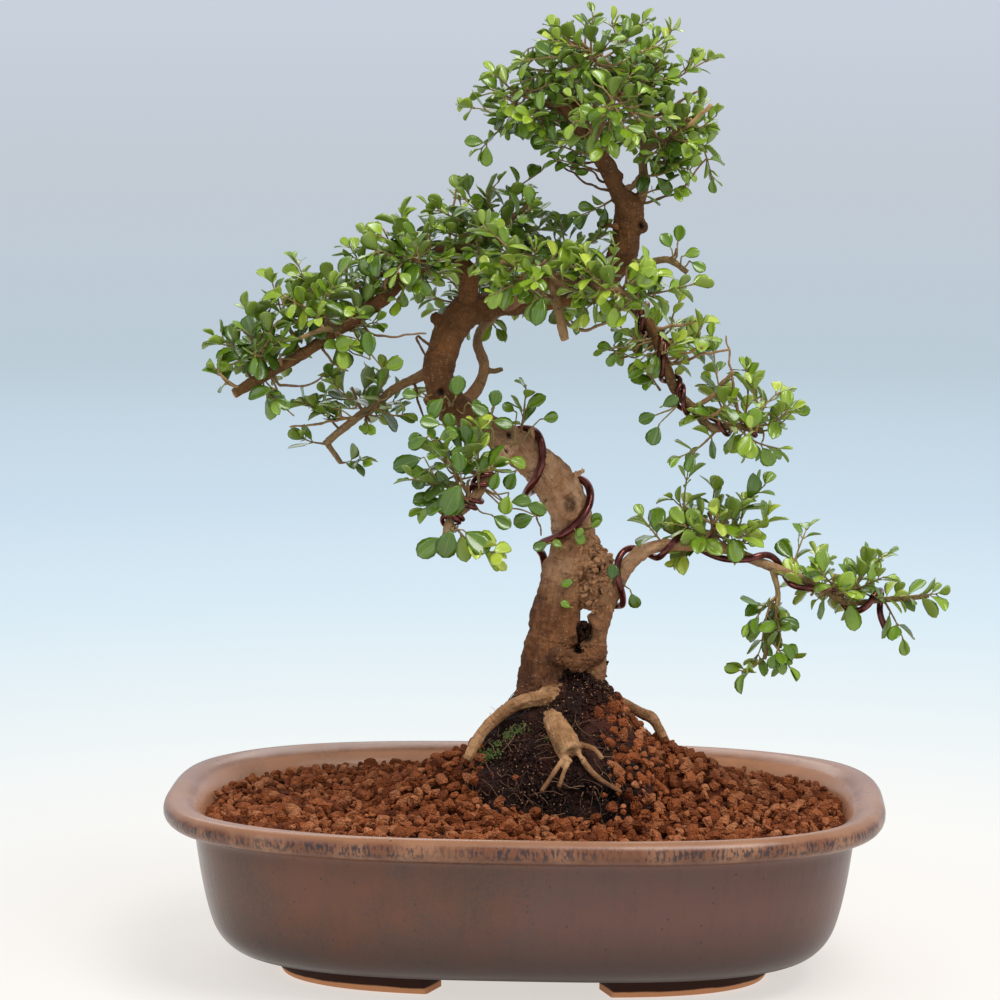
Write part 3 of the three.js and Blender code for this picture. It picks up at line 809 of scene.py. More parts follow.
# A foot at each corner: the foot's section carried round the oval between two gaps, its ends rounded off.
def makeFeet():
    section = np.array(pot["footOutside"], float)
    outer = section[5][0]
    dense = np.linspace(0, math.pi / 2, 2001)
    x, y = ovalPoint(dense, outer)
    start = dense[np.argmax(y > pot["halfGapEnd"] + 1)]
    stop = dense[len(x) - 1 - np.argmax(x[::-1] > pot["halfGapFront"] + 1)]
    middle = section.mean(axis=0)
    steps = [(start, 0.9, -1.0), (start, 0.97, -0.7)]
    steps += [(angle, 1.0, 0.0) for angle in np.linspace(start, stop, pot["footSteps"])]
    steps += [(stop, 0.97, 0.7), (stop, 0.9, 1.0)]
    parts = []
    for wayX, wayY in ((1, 1), (-1, 1), (-1, -1), (1, -1)):
        rings = []
        for angle, size, push in steps:
            shape = middle + (section - middle) * size
            shape[:, 1] = np.maximum(shape[:, 1], 0)
            ring = []
            for inset, height in shape:
                px, py = ovalPoint(np.array([angle]), inset)
                nx, ny = ovalPoint(np.array([angle + 0.01]), inset)
                along = unit(np.array((nx[0] - px[0], ny[0] - py[0])))
                footX = wayX * (px[0] + along[0] * push) + potX
                ring.append((footX, wayY * (py[0] + along[1] * push), height))
            rings.append(ring)
        rings = np.array(rings)
        points = np.vstack((rings.reshape(-1, 3), rings[0].mean(axis=0), rings[-1].mean(axis=0)))
        faces = ringFaces(len(rings), len(section))
        parts.append((points, faces[:, ::-1] if wayX * wayY > 0 else faces))
    feet = newObject("potFeet", *together(parts), footMaterial)
    feet.data.set_sharp_from_angle(angle=math.radians(35))
    mark(feet, "inside", np.zeros(len(feet.data.vertices)))
    return feet


print("pot")
finishPiece(makePot(), "pot_glaze", "pot")
finishPiece(makeFeet(), "pot_glaze", "pot")

# The bed of fired-clay granules, heaped toward the tree, and the peaty ball that the tree came with.
bed = {
    "inset": 18.4,
    "largeSize": (2.2, 4.5),
    "smallSize": (1.2, 2.2),
    "largeTries": 24000,
    "smallTries": 11500,
    "coverTries": 2200,
    "coverLarge": (2.0, 3.8),
    "coverSmall": (1.1, 1.9),
    "most": 60000,
    "halfLength": 143,
    "halfWidth": 96,
    "prototypes": 18,
    "underRim": 8.5,
    "heapMiddle": (18, 12),
    "heaps": ((44, 37), (9, 85)),       # rise and reach
    "banks": (((74, 15), (24, 40), 13), ((-38, 8), (20, 32), 11)),      # middle, widths, rise
    "floorShares": (1.0, 0.94, 0.84, 0.72, 0.6, 0.48, 0.36, 0.24, 0.12),
    "floorAround": 120,
    "floorUnder": 3.4,
}
ball = {
    "middle": (14, -8),
    "bottom": 34,
    "top": 137,
    "radius": 46,
    "widths": [
        (0, 0.86), (0.22, 1), (0.42, 1), (0.56, 0.95), (0.66, 0.82), (0.75, 0.66), (0.84, 0.5),
        (0.92, 0.36), (1, 0.18),
    ],
    "lean": (4, 10),
    "front": 0.84,
    "back": 0.95,
    "lobe": dict(angle=-1.12, width=0.42, size=13, below=103),     # the matted roots at the front
}


def bedHeight(x, y):
    heapX, heapY = bed["heapMiddle"]
    away = np.hypot(x - potX - heapX, (y - heapY) * 1.15)
    height = potTop - bed["underRim"]
    for rise, reach in bed["heaps"]:
        height = height + rise * np.exp(-((away / reach) ** 2))
    for (bankX, bankY), (wide, deep), rise in bed["banks"]:
        height = height + rise * np.exp(-(((x - potX - bankX) / wide) ** 2) - ((y - bankY) / deep) ** 2)
    return height


def ballReach(share, angle):
    shares, widths = np.array(ball["widths"]).T
    lobe = ball["lobe"]
    height = ball["bottom"] + (ball["top"] - ball["bottom"]) * share
    swell = np.exp(-(((angle - lobe["angle"]) / lobe["width"]) ** 2))
    swell = swell * np.clip((lobe["below"] - height) / 14, 0, 1)
    return np.interp(share, shares, widths) * ball["radius"] + lobe["size"] * swell


def ballPoint(share, angle, grow=0.0):
    angle = (np.asarray(angle) + math.pi) % (2 * math.pi) - math.pi
    reach = ballReach(share, angle) + grow
    deep = np.where(np.sin(angle) < 0, ball["front"], ball["back"])
    x = ball["middle"][0] + ball["lean"][0] * share + reach * np.cos(angle) + potX
    y = ball["middle"][1] + ball["lean"][1] * share + reach * np.sin(angle) * deep
    return np.stack((x, y, ball["bottom"] + (ball["top"] - ball["bottom"]) * share + np.zeros_like(x)), -1)


# How far a point lies outside the ball at its own height, in millimetres.
def outsideBall(points):
    share = np.clip((points[:, 2] - ball["bottom"]) / (ball["top"] - ball["bottom"]), 0, 1)
    x = points[:, 0] - potX - ball["middle"][0] - ball["lean"][0] * share
    y = points[:, 1] - ball["middle"][1] - ball["lean"][1] * share
    y = y / np.where(y < 0, ball["front"], ball["back"])
    return np.hypot(x, y) - ballReach(share, np.arctan2(y, x))


def roundStone(detail):
    bpy.ops.mesh.primitive_ico_sphere_add(subdivisions=detail, radius=1)
    stone = bpy.context.object
    points = np.array([v.co for v in stone.data.vertices])
    faces = np.array([p.vertices for p in stone.data.polygons])
    bpy.data.objects.remove(stone)
    return points, faces


# Broken lumps: a ball cut by planes, its edges worn.
def lumpShapes(count, detail, seed):
    draw = np.random.default_rng(seed)
    points, faces = roundStone(detail)
    shapes = []
    for _ in range(count):
        planes = unit(draw.normal(size=(12, 3)))
        heights = draw.uniform(0.5, 0.92, 12)
        facing = np.maximum(points @ planes.T, 0.05)
        reach = np.minimum((heights / facing).min(axis=1), 1.12)
        worn = 0.96 * reach + 0.04
        stretch = draw.uniform(0.76, 1.22, 3)
        rough = 1 + 0.028 * draw.normal(size=len(points))
        shapes.append(points * (worn * rough)[:, None] * stretch)
    return shapes, faces


def anyTurn(draw, count):
    q = unit(draw.normal(size=(count, 4)))
    w, x, y, z = q.T
    return np.stack((
        np.stack((1 - 2 * (y * y + z * z), 2 * (x * y - z * w), 2 * (x * z + y * w)), -1),
        np.stack((2 * (x * y + z * w), 1 - 2 * (x * x + z * z), 2 * (y * z - x * w)), -1),
        np.stack((2 * (x * z - y * w), 2 * (y * z + x * w), 1 - 2 * (x * x + y * y)), -1),
    ), 1)


# One piece of many lumps, each turned at random.
def scatter(name, stock, places, sizes, draw, material, smooth=True):
    shapes, faces = stock
    turns = anyTurn(draw, len(places))
    kinds = draw.integers(len(shapes), size=len(places))
    chosen = np.array(shapes)[kinds]
    points = np.einsum("nij,nkj->nki", turns, chosen) * sizes[:, None, None] + places[:, None]
    shift = (np.arange(len(places)) * len(shapes[0]))[:, None, None]
    return newObject(name, points.reshape(-1, 3), (faces[None] + shift).reshape(-1, 3), material, smooth)


def perLump(values, stock):
    return np.repeat(values, len(stock[0][0]))


# Where grains lie on the ball. Each side has where it starts from the middle, and below what height.
cover = {
    "shares": (0.4, 0.86),
    "standOff": 0.8,
    "right": (47, 13, 4),       # start, how much nearer it lies at the top, spread
    "front": -20,
    "left": (-21, 2.5, 106),        # start, spread, height
    "behind": (14, 112),
    "few": (98, 0.008),     # height and share
}


# Throws grains at the bed and keeps those that touch no earlier one by too much.
class GrainPile:
    def __init__(self, seed):
        self.draw = np.random.default_rng(seed)
        self.places = np.zeros((bed["most"], 3))
        self.sizes = np.zeros(bed["most"])
        self.count = 0

    def offer(self, place, size, closeness):
        near = np.linalg.norm(self.places[:self.count] - place, axis=1)
        if (near < closeness * (self.sizes[:self.count] + size)).any():
            return
        self.places[self.count] = place
        self.sizes[self.count] = size
        self.count += 1

    def onBed(self, tries, sizes, closeness, sink):
        draw = self.draw
        for _ in range(tries):
            x = potX + draw.uniform(-bed["halfLength"], bed["halfLength"])
            y = draw.uniform(-bed["halfWidth"], bed["halfWidth"])
            size = sizes[0] + (sizes[1] - sizes[0]) * draw.beta(1.4, 1.6)
            if not insideOval(x, y, bed["inset"] + size * 0.55):
                continue
            place = np.array((x, y, bedHeight(x, y) - sink + draw.normal() * 0.9))
            if outsideBall(place[None])[0] > 0.2:
                self.offer(place, size, closeness)

    # Grains that lie on the ball: thick on its flanks and behind, a few on its front
    def onBall(self, tries, sizes, closeness):
        draw = self.draw
        start, less, spread = cover["right"]
        left, leftSpread, leftBelow = cover["left"]
        behind, behindBelow = cover["behind"]
        fewBelow, fewShare = cover["few"]
        for _ in range(tries):
            share = draw.uniform(*cover["shares"])
            angle = draw.uniform(-math.pi, math.pi)
            place = ballPoint(share, angle, cover["standOff"])
            edge = start - less * share + draw.normal() * spread
            isRight = place[0] - potX > edge + (place[1] < cover["front"]) * 4
            isBehind = place[1] > behind and place[2] < behindBelow
            isOneOfFew = place[2] < fewBelow and draw.random() < fewShare
            isLeft = place[0] - potX < left + draw.normal() * leftSpread and place[2] < leftBelow
            if isRight or isLeft or isBehind or isOneOfFew:
                self.offer(place, draw.uniform(*sizes), closeness)


def makeGranules():
    pile = GrainPile(11)
    pile.onBed(bed["largeTries"], bed["largeSize"], closeness=0.8, sink=1.6)
    pile.onBall(bed["coverTries"], bed["coverLarge"], closeness=0.78)
    large = pile.count
    pile.onBed(bed["smallTries"], bed["smallSize"], closeness=0.72, sink=0.9)
    pile.onBall(bed["coverTries"], bed["coverSmall"], closeness=0.74)
    print("grains", large, pile.count - large)
    made = []
    for name, start, stop, seed in (("granulesLarge", 0, large, 7), ("granulesSmall", large, pile.count, 9)):
        stock = lumpShapes(bed["prototypes"], 2, seed)
        where = pile.places[start:stop]
        piece = scatter(name, stock, where, pile.sizes[start:stop], pile.draw, grainMaterial)
        piece.data.set_sharp_from_angle(angle=math.radians(26))
        mark(piece, "tone", perLump(pile.draw.beta(1.7, 2.0, stop - start), stock))
        made.append(piece)
    return made


# The bed under the loose grains, seen as dark gaps between them. It has no tone, so it takes the darkest clay
# colour: painted shade in the gaps.
def makeBedFloor():
    x, y = ovalPoint(ovalAngles(bed["floorAround"]), bed["inset"] - 1)
    rings = []
    for share in bed["floorShares"]:
        ringX = x * share + potX
        ringY = y * share
        rings.append(np.stack((ringX, ringY, bedHeight(ringX, ringY) - bed["floorUnder"]), -1))
    low = rings[0].copy()
    low[:, 2] -= 6
    rings = np.array([low] + rings)
    centre = np.array((potX, 0, bedHeight(potX, 0) - bed["floorUnder"]))
    points = np.vstack((rings.reshape(-1, 3), (potX, 0, potTop - 18), centre))
    return newObject("bedFloor", points, ringFaces(len(rings), bed["floorAround"]), grainMaterial)


mound = {
    "around": 150,
    "shares": (0.25, 1, 62),
    "lumps": ((13.0, 3, 3.1, 3.2), (4.0, 3, 8.7, 2.1)),     # length, octaves, seed, height
    "hollow": dict(place=(594, 806, -50), radius=10, squash=(0.5, 1, 1)),      # under the matted roots
    "hollowDepth": 11,
    "matted": dict(place=(606, 716, -18), radius=17),
}


def makePeat():
    around = mound["around"]
    shares = np.linspace(*mound["shares"])
    angles = np.arange(around) / around * 2 * math.pi
    points = np.array([ballPoint(share, angles) for share in shares]).reshape(-1, 3)
    lumps = sum(roughness(points, *kind) * high for *kind, high in mound["lumps"])
    outward = points - np.array((potX + ball["middle"][0] + 3, ball["middle"][1] + 5, 0))
    outward[:, 2] = 8
    points = points + unit(outward) * lumps[:, None]
    points[:, 1] += mound["hollowDepth"] * markAbout(points, **mound["hollow"])
    rings = points.reshape(len(shares), around, 3)
    points = np.vstack((points, rings[0].mean(axis=0), rings[-1].mean(axis=0) + (0, 0, 2)))
    made = newObject("peatMound", points, ringFaces(len(shares), around), peatMaterial)
    fibrous = roughness(points, 22.0, 2, 5.5) * 0.8 + markAbout(points, **mound["matted"])
    mark(made, "fibrous", np.clip(fibrous, 0, 1))
    return made


shown = {"shares": (0.3, 0.99), "right": (52, 13), "behind": 16, "above": 112}


# Points of the peat that can be seen: above the bed, and where no grains cover the ball.
def peatPlaces(draw, count, grow):
    edge, less = shown["right"]
    found = []
    while len(found) < count:
        share = draw.uniform(*shown["shares"])
        place = ballPoint(share, draw.uniform(0, 2 * math.pi), grow)
        covered = place[0] - potX > edge - less * share or place[1] > shown["behind"]
        if place[2] > bedHeight(place[0], place[1]) - 3 and (not covered or place[2] > shown["above"]):
            found.append(place)
    return np.array(found)


crumbs = {"count": 4600, "smallest": 0.4, "more": 1.1, "grit": 620, "gritSize": (0.2, 0.5), "gritTone": 1.6}


def makeCrumbs():
    draw = np.random.default_rng(31)
    stock = lumpShapes(8, 1, 3)
    where = peatPlaces(draw, crumbs["count"], 0.7)
    sizes = crumbs["smallest"] + crumbs["more"] * draw.beta(1.2, 3.0, len(where))
    made = scatter("peatCrumbs", stock, where, sizes, draw, peatMaterial)
    mark(made, "fibrous", perLump(draw.uniform(0, 0.45, len(where)), stock))
    where = peatPlaces(draw, crumbs["grit"], 1.3)
    sizes = draw.uniform(*crumbs["gritSize"], len(where))
    grit = scatter("peatGrit", stock, where, sizes, draw, hairMaterial)
    mark(grit, "tone", np.full(len(grit.data.vertices), crumbs["gritTone"]))
    return made, grit


rootHairs = {
    "count": 330,
    "below": 116,
    "above": 66,
    "centre": (20, -4, 90),
    "steps": (5, 10),
    "step": 2.2,
    "wander": 0.35,
    "radius": (0.12, 0.32),
    "tone": (0.0, 0.7),
}


def makeRootHairs():
    draw = np.random.default_rng(37)
    starts = peatPlaces(draw, rootHairs["count"], 1.0)
    centre = np.array(rootHairs["centre"]) + (potX, 0, 0)
    parts = []
    tones = []
    for start in starts[starts[:, 2] < rootHairs["below"]]:
        outward = unit(start - centre)
        heading = unit(draw.normal(size=3) * 0.7 + np.array((0, 0, -1.0)))
        path = [start]
        for _ in range(draw.integers(*rootHairs["steps"])):
            heading = unit(heading + draw.normal(size=3) * rootHairs["wander"])
            heading = unit(heading - outward * np.dot(heading, outward) * 0.9)
            path.append(path[-1] + heading * rootHairs["step"])
        path = np.array(path)
        if (path[:, 2] < rootHairs["above"]).any():
            continue
        slim = np.linspace(1, 0.4, len(path)) * draw.uniform(*rootHairs["radius"])
        part = tube(path, slim, 5)
        parts.append(part)
        tones.append(np.full(len(part[0]), draw.uniform(*rootHairs["tone"])))
    hairs = newObject("rootHairs", *together(parts), hairMaterial)
    mark(hairs, "tone", np.concatenate(tones))
    return hairs


moss = {
    # across, down, depth, spread in millimetres
    "patches": [
        (500, 732, -30, 5), (481, 738, -30, 4), (464, 752, -32, 6), (452, 758, -30, 5), (541, 746, -46, 3),
    ],
    "tufts": 70,
    "flatness": 0.5,
    "closeness": 0.6,
    "sunk": 2.4,
    "size": (0.3, 0.8),
}


def makeMoss():
    draw = np.random.default_rng(41)
    stock = lumpShapes(6, 1, 9)
    where = []
    for across, down, depth, spread in moss["patches"]:
        centre = at(across, down, depth)
        spreads = np.array((spread, spread, spread * moss["flatness"]))
        for _ in range(moss["tufts"]):
            where.append(centre + draw.normal(size=3) * spreads * moss["closeness"])
    where = np.array(where)
    # Each tuft moves sideways to the peat's surface.
    share = np.clip((where[:, 2] - ball["bottom"]) / (ball["top"] - ball["bottom"]), 0, 1)
    away = where[:, :2] - np.array((potX + ball["middle"][0], ball["middle"][1]))
    away = away - np.outer(share, ball["lean"])
    where[:, :2] -= unit(away) * (outsideBall(where) - moss["sunk"])[:, None]
    sizes = draw.uniform(*moss["size"], len(where))
    return scatter("mossTufts", stock, where, sizes, draw, mossMaterial)


print("soil")
for piece in makeGranules():
    finishPiece(piece, "clay_granules", "soil_bed")
finishPiece(makeBedFloor(), "clay_granules", "soil_bed")
finishPiece(makePeat(), "peat", "root_ball")
for piece in (*makeCrumbs(), makeRootHairs(), makeMoss()):
    finishPiece(piece, "peat", "root_ball")


# The wood. Each limb is a route of (across, down, depth) points in the front view, and a radius at each.
trunk = makeLimb(
    [
        (545, 775, 0), (545, 735, 0), (546, 700, 0), (548, 675, 1), (550, 650, 2), (555, 620, 3),
        (558, 600, 5), (563, 580, 7), (570, 560, 8), (573, 540, 9), (571, 520, 9), (565, 500, 8),
        (556, 485, 6), (538, 464, 3), (522, 451, 0), (509, 440, -2), (485, 427, -5), (460, 411, -6),
        (443, 393, -6), (438, 371, -2), (444, 348, 2), (452, 328, 6), (464, 314, 9), (487, 306, 12),
        (521, 306, 14), (560, 300, 14), (590, 290, 13), (612, 272, 11), (624, 250, 7), (627, 228, 4),
        (629, 208, 2), (616, 188, 0), (607, 166, 0), (593, 149, 0), (582, 132, 0), (572, 112, -1),
        (556, 94, -2),
    ],
    [
        12, 14.5, 14.6, 13, 11.8, 10.8, 10.4, 10.3, 10.3, 9.4, 9.1, 9.4, 9.4, 8.6, 7.9, 7, 6.4, 6.2, 6.6,
        6.9, 6.6, 7, 7.6, 5.6, 3.9, 3.6, 4.2, 5.4, 6.6, 6, 6.6, 3.6, 4.2, 3.3, 3.3, 4.4, 2.2,
    ],
)
lowRight = makeLimb(
    [
        (580, 715, 2), (592, 672, 0), (595, 640, -1), (602, 615, -3), (612, 592, -5), (624, 570, -7),
        (641, 553, -9), (664, 545, -10), (692, 546, -9), (722, 548, -8), (755, 560, -7), (790, 574, -7),
        (818, 586, -6), (846, 602, -5), (884, 600, -5), (908, 599, -5), (930, 596, -5),
    ],
    [7, 6.4, 5.2, 4.8, 4.1, 3.5, 3.1, 2.7, 2.6, 2.4, 2.2, 2, 1.7, 1.5, 1.1, 0.9, 0.7],
)
midRight = makeLimb(
    [
        (606, 278, 12), (622, 298, 5), (638, 310, 0), (650, 326, -4), (659, 348, -7), (668, 372, -9),
        (676, 391, -9), (694, 409, -9), (711, 427, -7), (735, 426, -7), (763, 431, -8),
    ],
    [3.8, 3.4, 3, 2.7, 2.4, 2.3, 2.2, 2.1, 2, 1.8, 1.3],
)
frontLeft = makeLimb(
    [
        (516, 446, -1), (505, 452, -15), (488, 468, -26), (479, 491, -33), (465, 507, -39), (450, 521, -43),
        (444, 545, -48),
    ],
    [3.8, 3.2, 2.7, 2.4, 2.2, 2, 1.5],
)
upperLeft = makeLimb(
    [
        (466, 310, 8), (468, 272, 6), (448, 250, 2), (420, 267, -4), (404, 279, -8), (384, 297, -12),
        (360, 316, -14), (334, 333, -16), (302, 354, -18), (270, 373, -22), (233, 394, -26),
    ],
    [5, 4, 3.3, 3.1, 3.1, 3.2, 3, 2.6, 2.5, 2.5, 2.4],
)
sideLimbs = [
    ([(450, 252, 2), (470, 240, 4), (488, 229, 6), (507, 221, 6), (530, 204, 4)], [2.6, 2.2, 1.9, 1.6, 1.2]),
    ([(386, 292, -12), (372, 285, 4), (350, 287, 22)], [2.4, 1.8, 1.2]),
    ([(340, 329, -16), (322, 330, -34), (300, 338, -46)], [1.7, 1.2, 0.9]),
    (
        [(438, 366, -1), (417, 378, 7), (396, 388, 11), (377, 403, 14), (355, 419, 18), (325, 444, 22)],
        [2.8, 2.3, 2.1, 2, 1.9, 1.6],
    ),
    ([(326, 442, 22), (341, 463, 24)], [1.5, 1.1]),
    (
        [
            (458, 407, -4), (473, 394, 3), (481, 381, 6), (484, 367, 9), (481, 354, 13), (477, 341, 19),
            (484, 326, 32), (502, 311, 46), (524, 300, 58), (548, 292, 70),
        ],
        [3.6, 2.9, 2.5, 2.4, 2.3, 2.2, 2, 1.8, 1.6, 1.2],
    ),
    ([(502, 311, 46), (480, 306, 56), (462, 304, 66)], [1.8, 1.5, 1.1]),
    ([(483, 370, 9), (494, 371, 8), (503, 369, 7)], [1.3, 1.2, 1]),
    (
        [(505, 305, 13), (526, 294, -6), (548, 281, -26), (578, 283, -38), (612, 290, -46), (640, 296, -50)],
        [3.7, 3.2, 2.8, 2.3, 1.8, 1.2],
    ),
    ([(551, 272, -26), (557, 305, -36), (565, 340, -42)], [2.1, 2.1, 2]),
    ([(545, 282, -24), (522, 268, -34), (500, 262, -42)], [2, 1.6, 1.1]),
    (
        [(634, 207, 2), (643, 192, 2), (643, 160, 3), (646, 124, 4), (649, 98, 4), (660, 66, 4)],
        [3.4, 2.4, 2, 1.7, 1.5, 1.2],
    ),
    ([(590, 145, 0), (606, 112, -12), (618, 84, -18)], [2.3, 1.9, 1.3]),
    ([(604, 160, 0), (588, 130, 20), (580, 100, 32)], [2.4, 1.9, 1.3]),
    ([(574, 116, -1), (548, 104, 4), (518, 92, 6)], [2.2, 1.8, 1.2]),
    ([(644, 150, 3), (668, 138, -4), (690, 118, -8)], [1.7, 1.4, 1.1]),
    ([(628, 262, 7), (645, 263, -2), (669, 260, -8), (688, 273, -10)], [2, 1.6, 1.5, 1.2]),
    ([(708, 547, -8), (714, 532, 6), (728, 522, 20)], [1.8, 1.5, 1.1]),
    ([(772, 567, -7), (778, 594, -12), (773, 626, -16), (764, 660, -18)], [1.5, 1.2, 1.1, 1]),
]
surfaceRoots = [
    (
        [
            (564, 696, -10), (541, 698, -17), (516, 704, -19), (497, 717, -21), (480, 735, -23),
            (467, 760, -26),
        ],
        [3.9, 3.5, 3.1, 2.8, 2.5, 2.2],
    ),
    ([(548, 708, -10), (556, 725, -25), (564, 740, -32), (572, 754, -38)], [3.6, 5.0, 5.9, 5.6]),
    ([(577, 752, -38), (594, 774, -44), (622, 793, -54)], [1.5, 1.2, 0.9]),
    ([(566, 755, -39), (552, 776, -46), (541, 792, -54)], [1.4, 1.1, 0.9]),
    ([(582, 745, -36), (594, 749, -40), (603, 759, -43)], [1.3, 1.1, 0.9]),
    ([(570, 758, -41), (564, 772, -46), (559, 788, -52)], [1.2, 1.0, 0.9]),
    ([(604, 690, 0), (616, 708, -6), (626, 724, -9), (632, 748, -14)], [2.2, 1.8, 1.6, 1.3]),
    ([(618, 700, 12), (641, 713, 12), (652, 718, 10), (664, 738, 6)], [2, 2.6, 2.6, 2]),
    ([(552, 660, -8), (562, 655, -12), (578, 663, -12), (597, 654, -5)], [3.0, 3.7, 3.5, 3.9]),
    ([(545, 716, 12), (520, 715, 26), (496, 730, 38)], [6, 4.4, 2.6]),
]
limbs = [trunk, lowRight, midRight, frontLeft, upperLeft]
limbs += [makeLimb(*limb) for limb in sideLimbs]
rootStart = len(limbs)
limbs += [makeLimb(*limb) for limb in surfaceRoots]
swellings = [  # across, down, depth, radius: burls, knuckles and knots
    (596, 566, 4, 7.4), (600, 585, 2, 6), (590, 598, 2, 5), (586, 548, 6, 6), (570, 505, 1, 5.2),
    (571, 548, 1, 4), (547, 461, -3, 3.6), (558, 656, -12, 3.9), (578, 665, -11, 3.4), (599, 652, -4, 4.0),
    (601, 224, 4, 2.2), (641, 226, 1, 3.0), (573, 110, -1, 5), (617, 176, 0, 3), (430, 400, -8, 3),
    (436, 318, 5, 2.6), (487, 313, 9, 4), (552, 690, -10, 6), (530, 640, 0, 3), (612, 590, -5, 4.6),
    (641, 553, -9, 3.8), (455, 246, 2, 3.6), (384, 297, -12, 3.8), (302, 354, -18, 3.1),
    (662, 357, -8, 3.1), (694, 409, -9, 2.9), (722, 548, -8, 3.2),
]
stubs = [  # short cut or broken ends: start, end, radius
    ((571, 476, 2), (583, 471, -8), 1.5), ((534, 440, -4), (530, 429, -8), 1.2),
    ((604, 224, 4), (617, 227, -8), 1.6), ((506, 246, 10), (531, 258, -6), 1.5),
    ((547, 462, -2), (548, 459, -9), 2.6), ((445, 405, -8), (441, 421, -12), 1.7),
]
# The share of dark sets how strongly painted shade darkens each hole.
hollows = [  # across, down, radius, depth of the hole, share of dark
    (572, 506, 4.7, 3.4, 0.72), (513, 434, 1.7, 1.6, 1), (510, 448, 1.6, 1.5, 1), (545, 450, 2.5, 1.6, 0.8),
    (439, 389, 1.9, 1.8, 1), (646, 226, 2.5, 2.2, 0.95), (585, 612, 4.2, 3.6, 1), (583, 632, 4.6, 3.4, 1),
    (571, 551, 1.6, 0.8, 0.5), (600, 574, 2.4, 2.2, 1), (590, 556, 1.8, 1.8, 1), (597, 592, 2.0, 2.0, 1),
    (541, 600, 1.1, 0.5, 0.4), (562, 575, 1.0, 0.5, 0.5), (607, 566, 1.4, 1.4, 1), (588, 573, 1.6, 1.6, 1),
]


# Where points show in the front view: across, down and how far away they are.
def seen(points):
    local = points - np.array((potX, 0, potTop + view["aboveRim"]))
    a, b = turned(local[:, 0], local[:, 1], -view["turn"])
    forward, rise = turned(b + view["distance"], local[:, 2], view["pitch"])
    right, up = turned((a + view["aside"]) / forward, rise / forward, -view["roll"])
    return 500 + right * view["scale"], 500 - up * view["scale"], forward


wooden = {
    "spacing": 1.4,
    "thinnest": 1.15,
    "sides": 18,
    "voxel": 0.92,
    "soften": 4,
    "thinBelow": 3.4,
    # middle of each torn or lumpy area, radius, share of bare wood
    "lumpy": [
        ((598, 572, 3), 11, 1), ((595, 600, 2), 7, 1), ((575, 660, -10), 11, 0.12), ((560, 700, -8), 16, 0),
    ],
    # share of pale bark on the low right limb below a height, and on the side limbs
    "fairLow": (0.4, 205),
    "fairSide": 0.6,
    "fairStub": (0.9, (562, 318, -40), 15),
    "rootFade": (92, 10, 0.35),
    # sawn and broken ends: place and radius
    "cuts": [((233, 394, -26), 2.6), ((572, 756, -42), 6.4), ((565, 341, -42), 2.2), ((548, 459, -9), 2.4)],
    "mossBelow": 48,
}


# Points along the middle of every limb, each with its radius, limb, distance along the limb and directions.
def limbSamples(spacing):
    samples = []
    for i, limb in enumerate(limbs):
        stations = evenStations(limb["points"], spacing)
        path = alongRoute(limb["points"], stations)
        radii = radiusAt(limb, stations)
        owner = np.full(len(path), i)
        samples.append((path, radii, owner, runAlong(path) + 300 * i, *carriedFrames(path)))
    return [np.concatenate(part) for part in zip(*samples)]


print("wood")
samples = limbSamples(wooden["spacing"])
woodAt, woodRadius, woodOwner, woodAlong, woodTangent, woodNormal, woodBinormal = samples


def nearestWood(points, block=4000):
    found = np.empty(len(points), int)
    for start in range(0, len(points), block):
        part = points[start:start + block]
        gap = np.linalg.norm(part[:, None] - woodAt[None], axis=2) - woodRadius
        found[start:start + block] = gap.argmin(axis=1)
    return found


def makeWood():
    parts = []
    for limb in limbs:
        stations = evenStations(limb["points"], wooden["spacing"])
        radii = np.maximum(radiusAt(limb, stations), wooden["thinnest"])
        parts.append(tube(alongRoute(limb["points"], stations), radii, wooden["sides"]))
    for start, stop, radius in stubs:
        start = at(*start)
        stop = at(*stop)
        parts.append(tube([start + (stop - start) * share for share in (0, 0.3, 0.6, 1)], radius, 10))
    ballPoints, ballFaces = roundStone(3)
    for across, down, depth, radius in swellings:
        parts.append((ballPoints * radius + at(across, down, depth), ballFaces))
    wood = newObject("wood", *together(parts), barkMaterial)
    remesh = wood.modifiers.new("remesh", "REMESH")
    remesh.mode = "VOXEL"
    remesh.voxel_size = wooden["voxel"] * mm
    soften = wood.modifiers.new("soften", "SMOOTH")
    soften.factor = 0.5
    soften.iterations = wooden["soften"]
    applyModifiers(wood)
    print("wood faces", len(wood.data.polygons))
    points = pointsOf(wood)
    # Back to the true size where the coarse grid made thin limbs thinner
    near = nearestWood(points)
    radius = woodRadius[near]
    offset = points - woodAt[near]
    slip = (offset * woodTangent[near]).sum(axis=1)
    spoke = offset - woodTangent[near] * slip[:, None]
    length = np.linalg.norm(spoke, axis=1)
    thin = np.clip((wooden["thinBelow"] - radius) / 1.6, 0, 1) * (np.abs(slip) < 1.2) * (length > 0.2)
    close = np.clip(1.6 - np.abs(length - radius) / np.maximum(radius, 1), 0, 1)
    points += unit(spoke) * ((radius - length) * thin * close)[:, None]
    movePoints(wood, points)
    shapeBark(wood, points, near)
    return wood


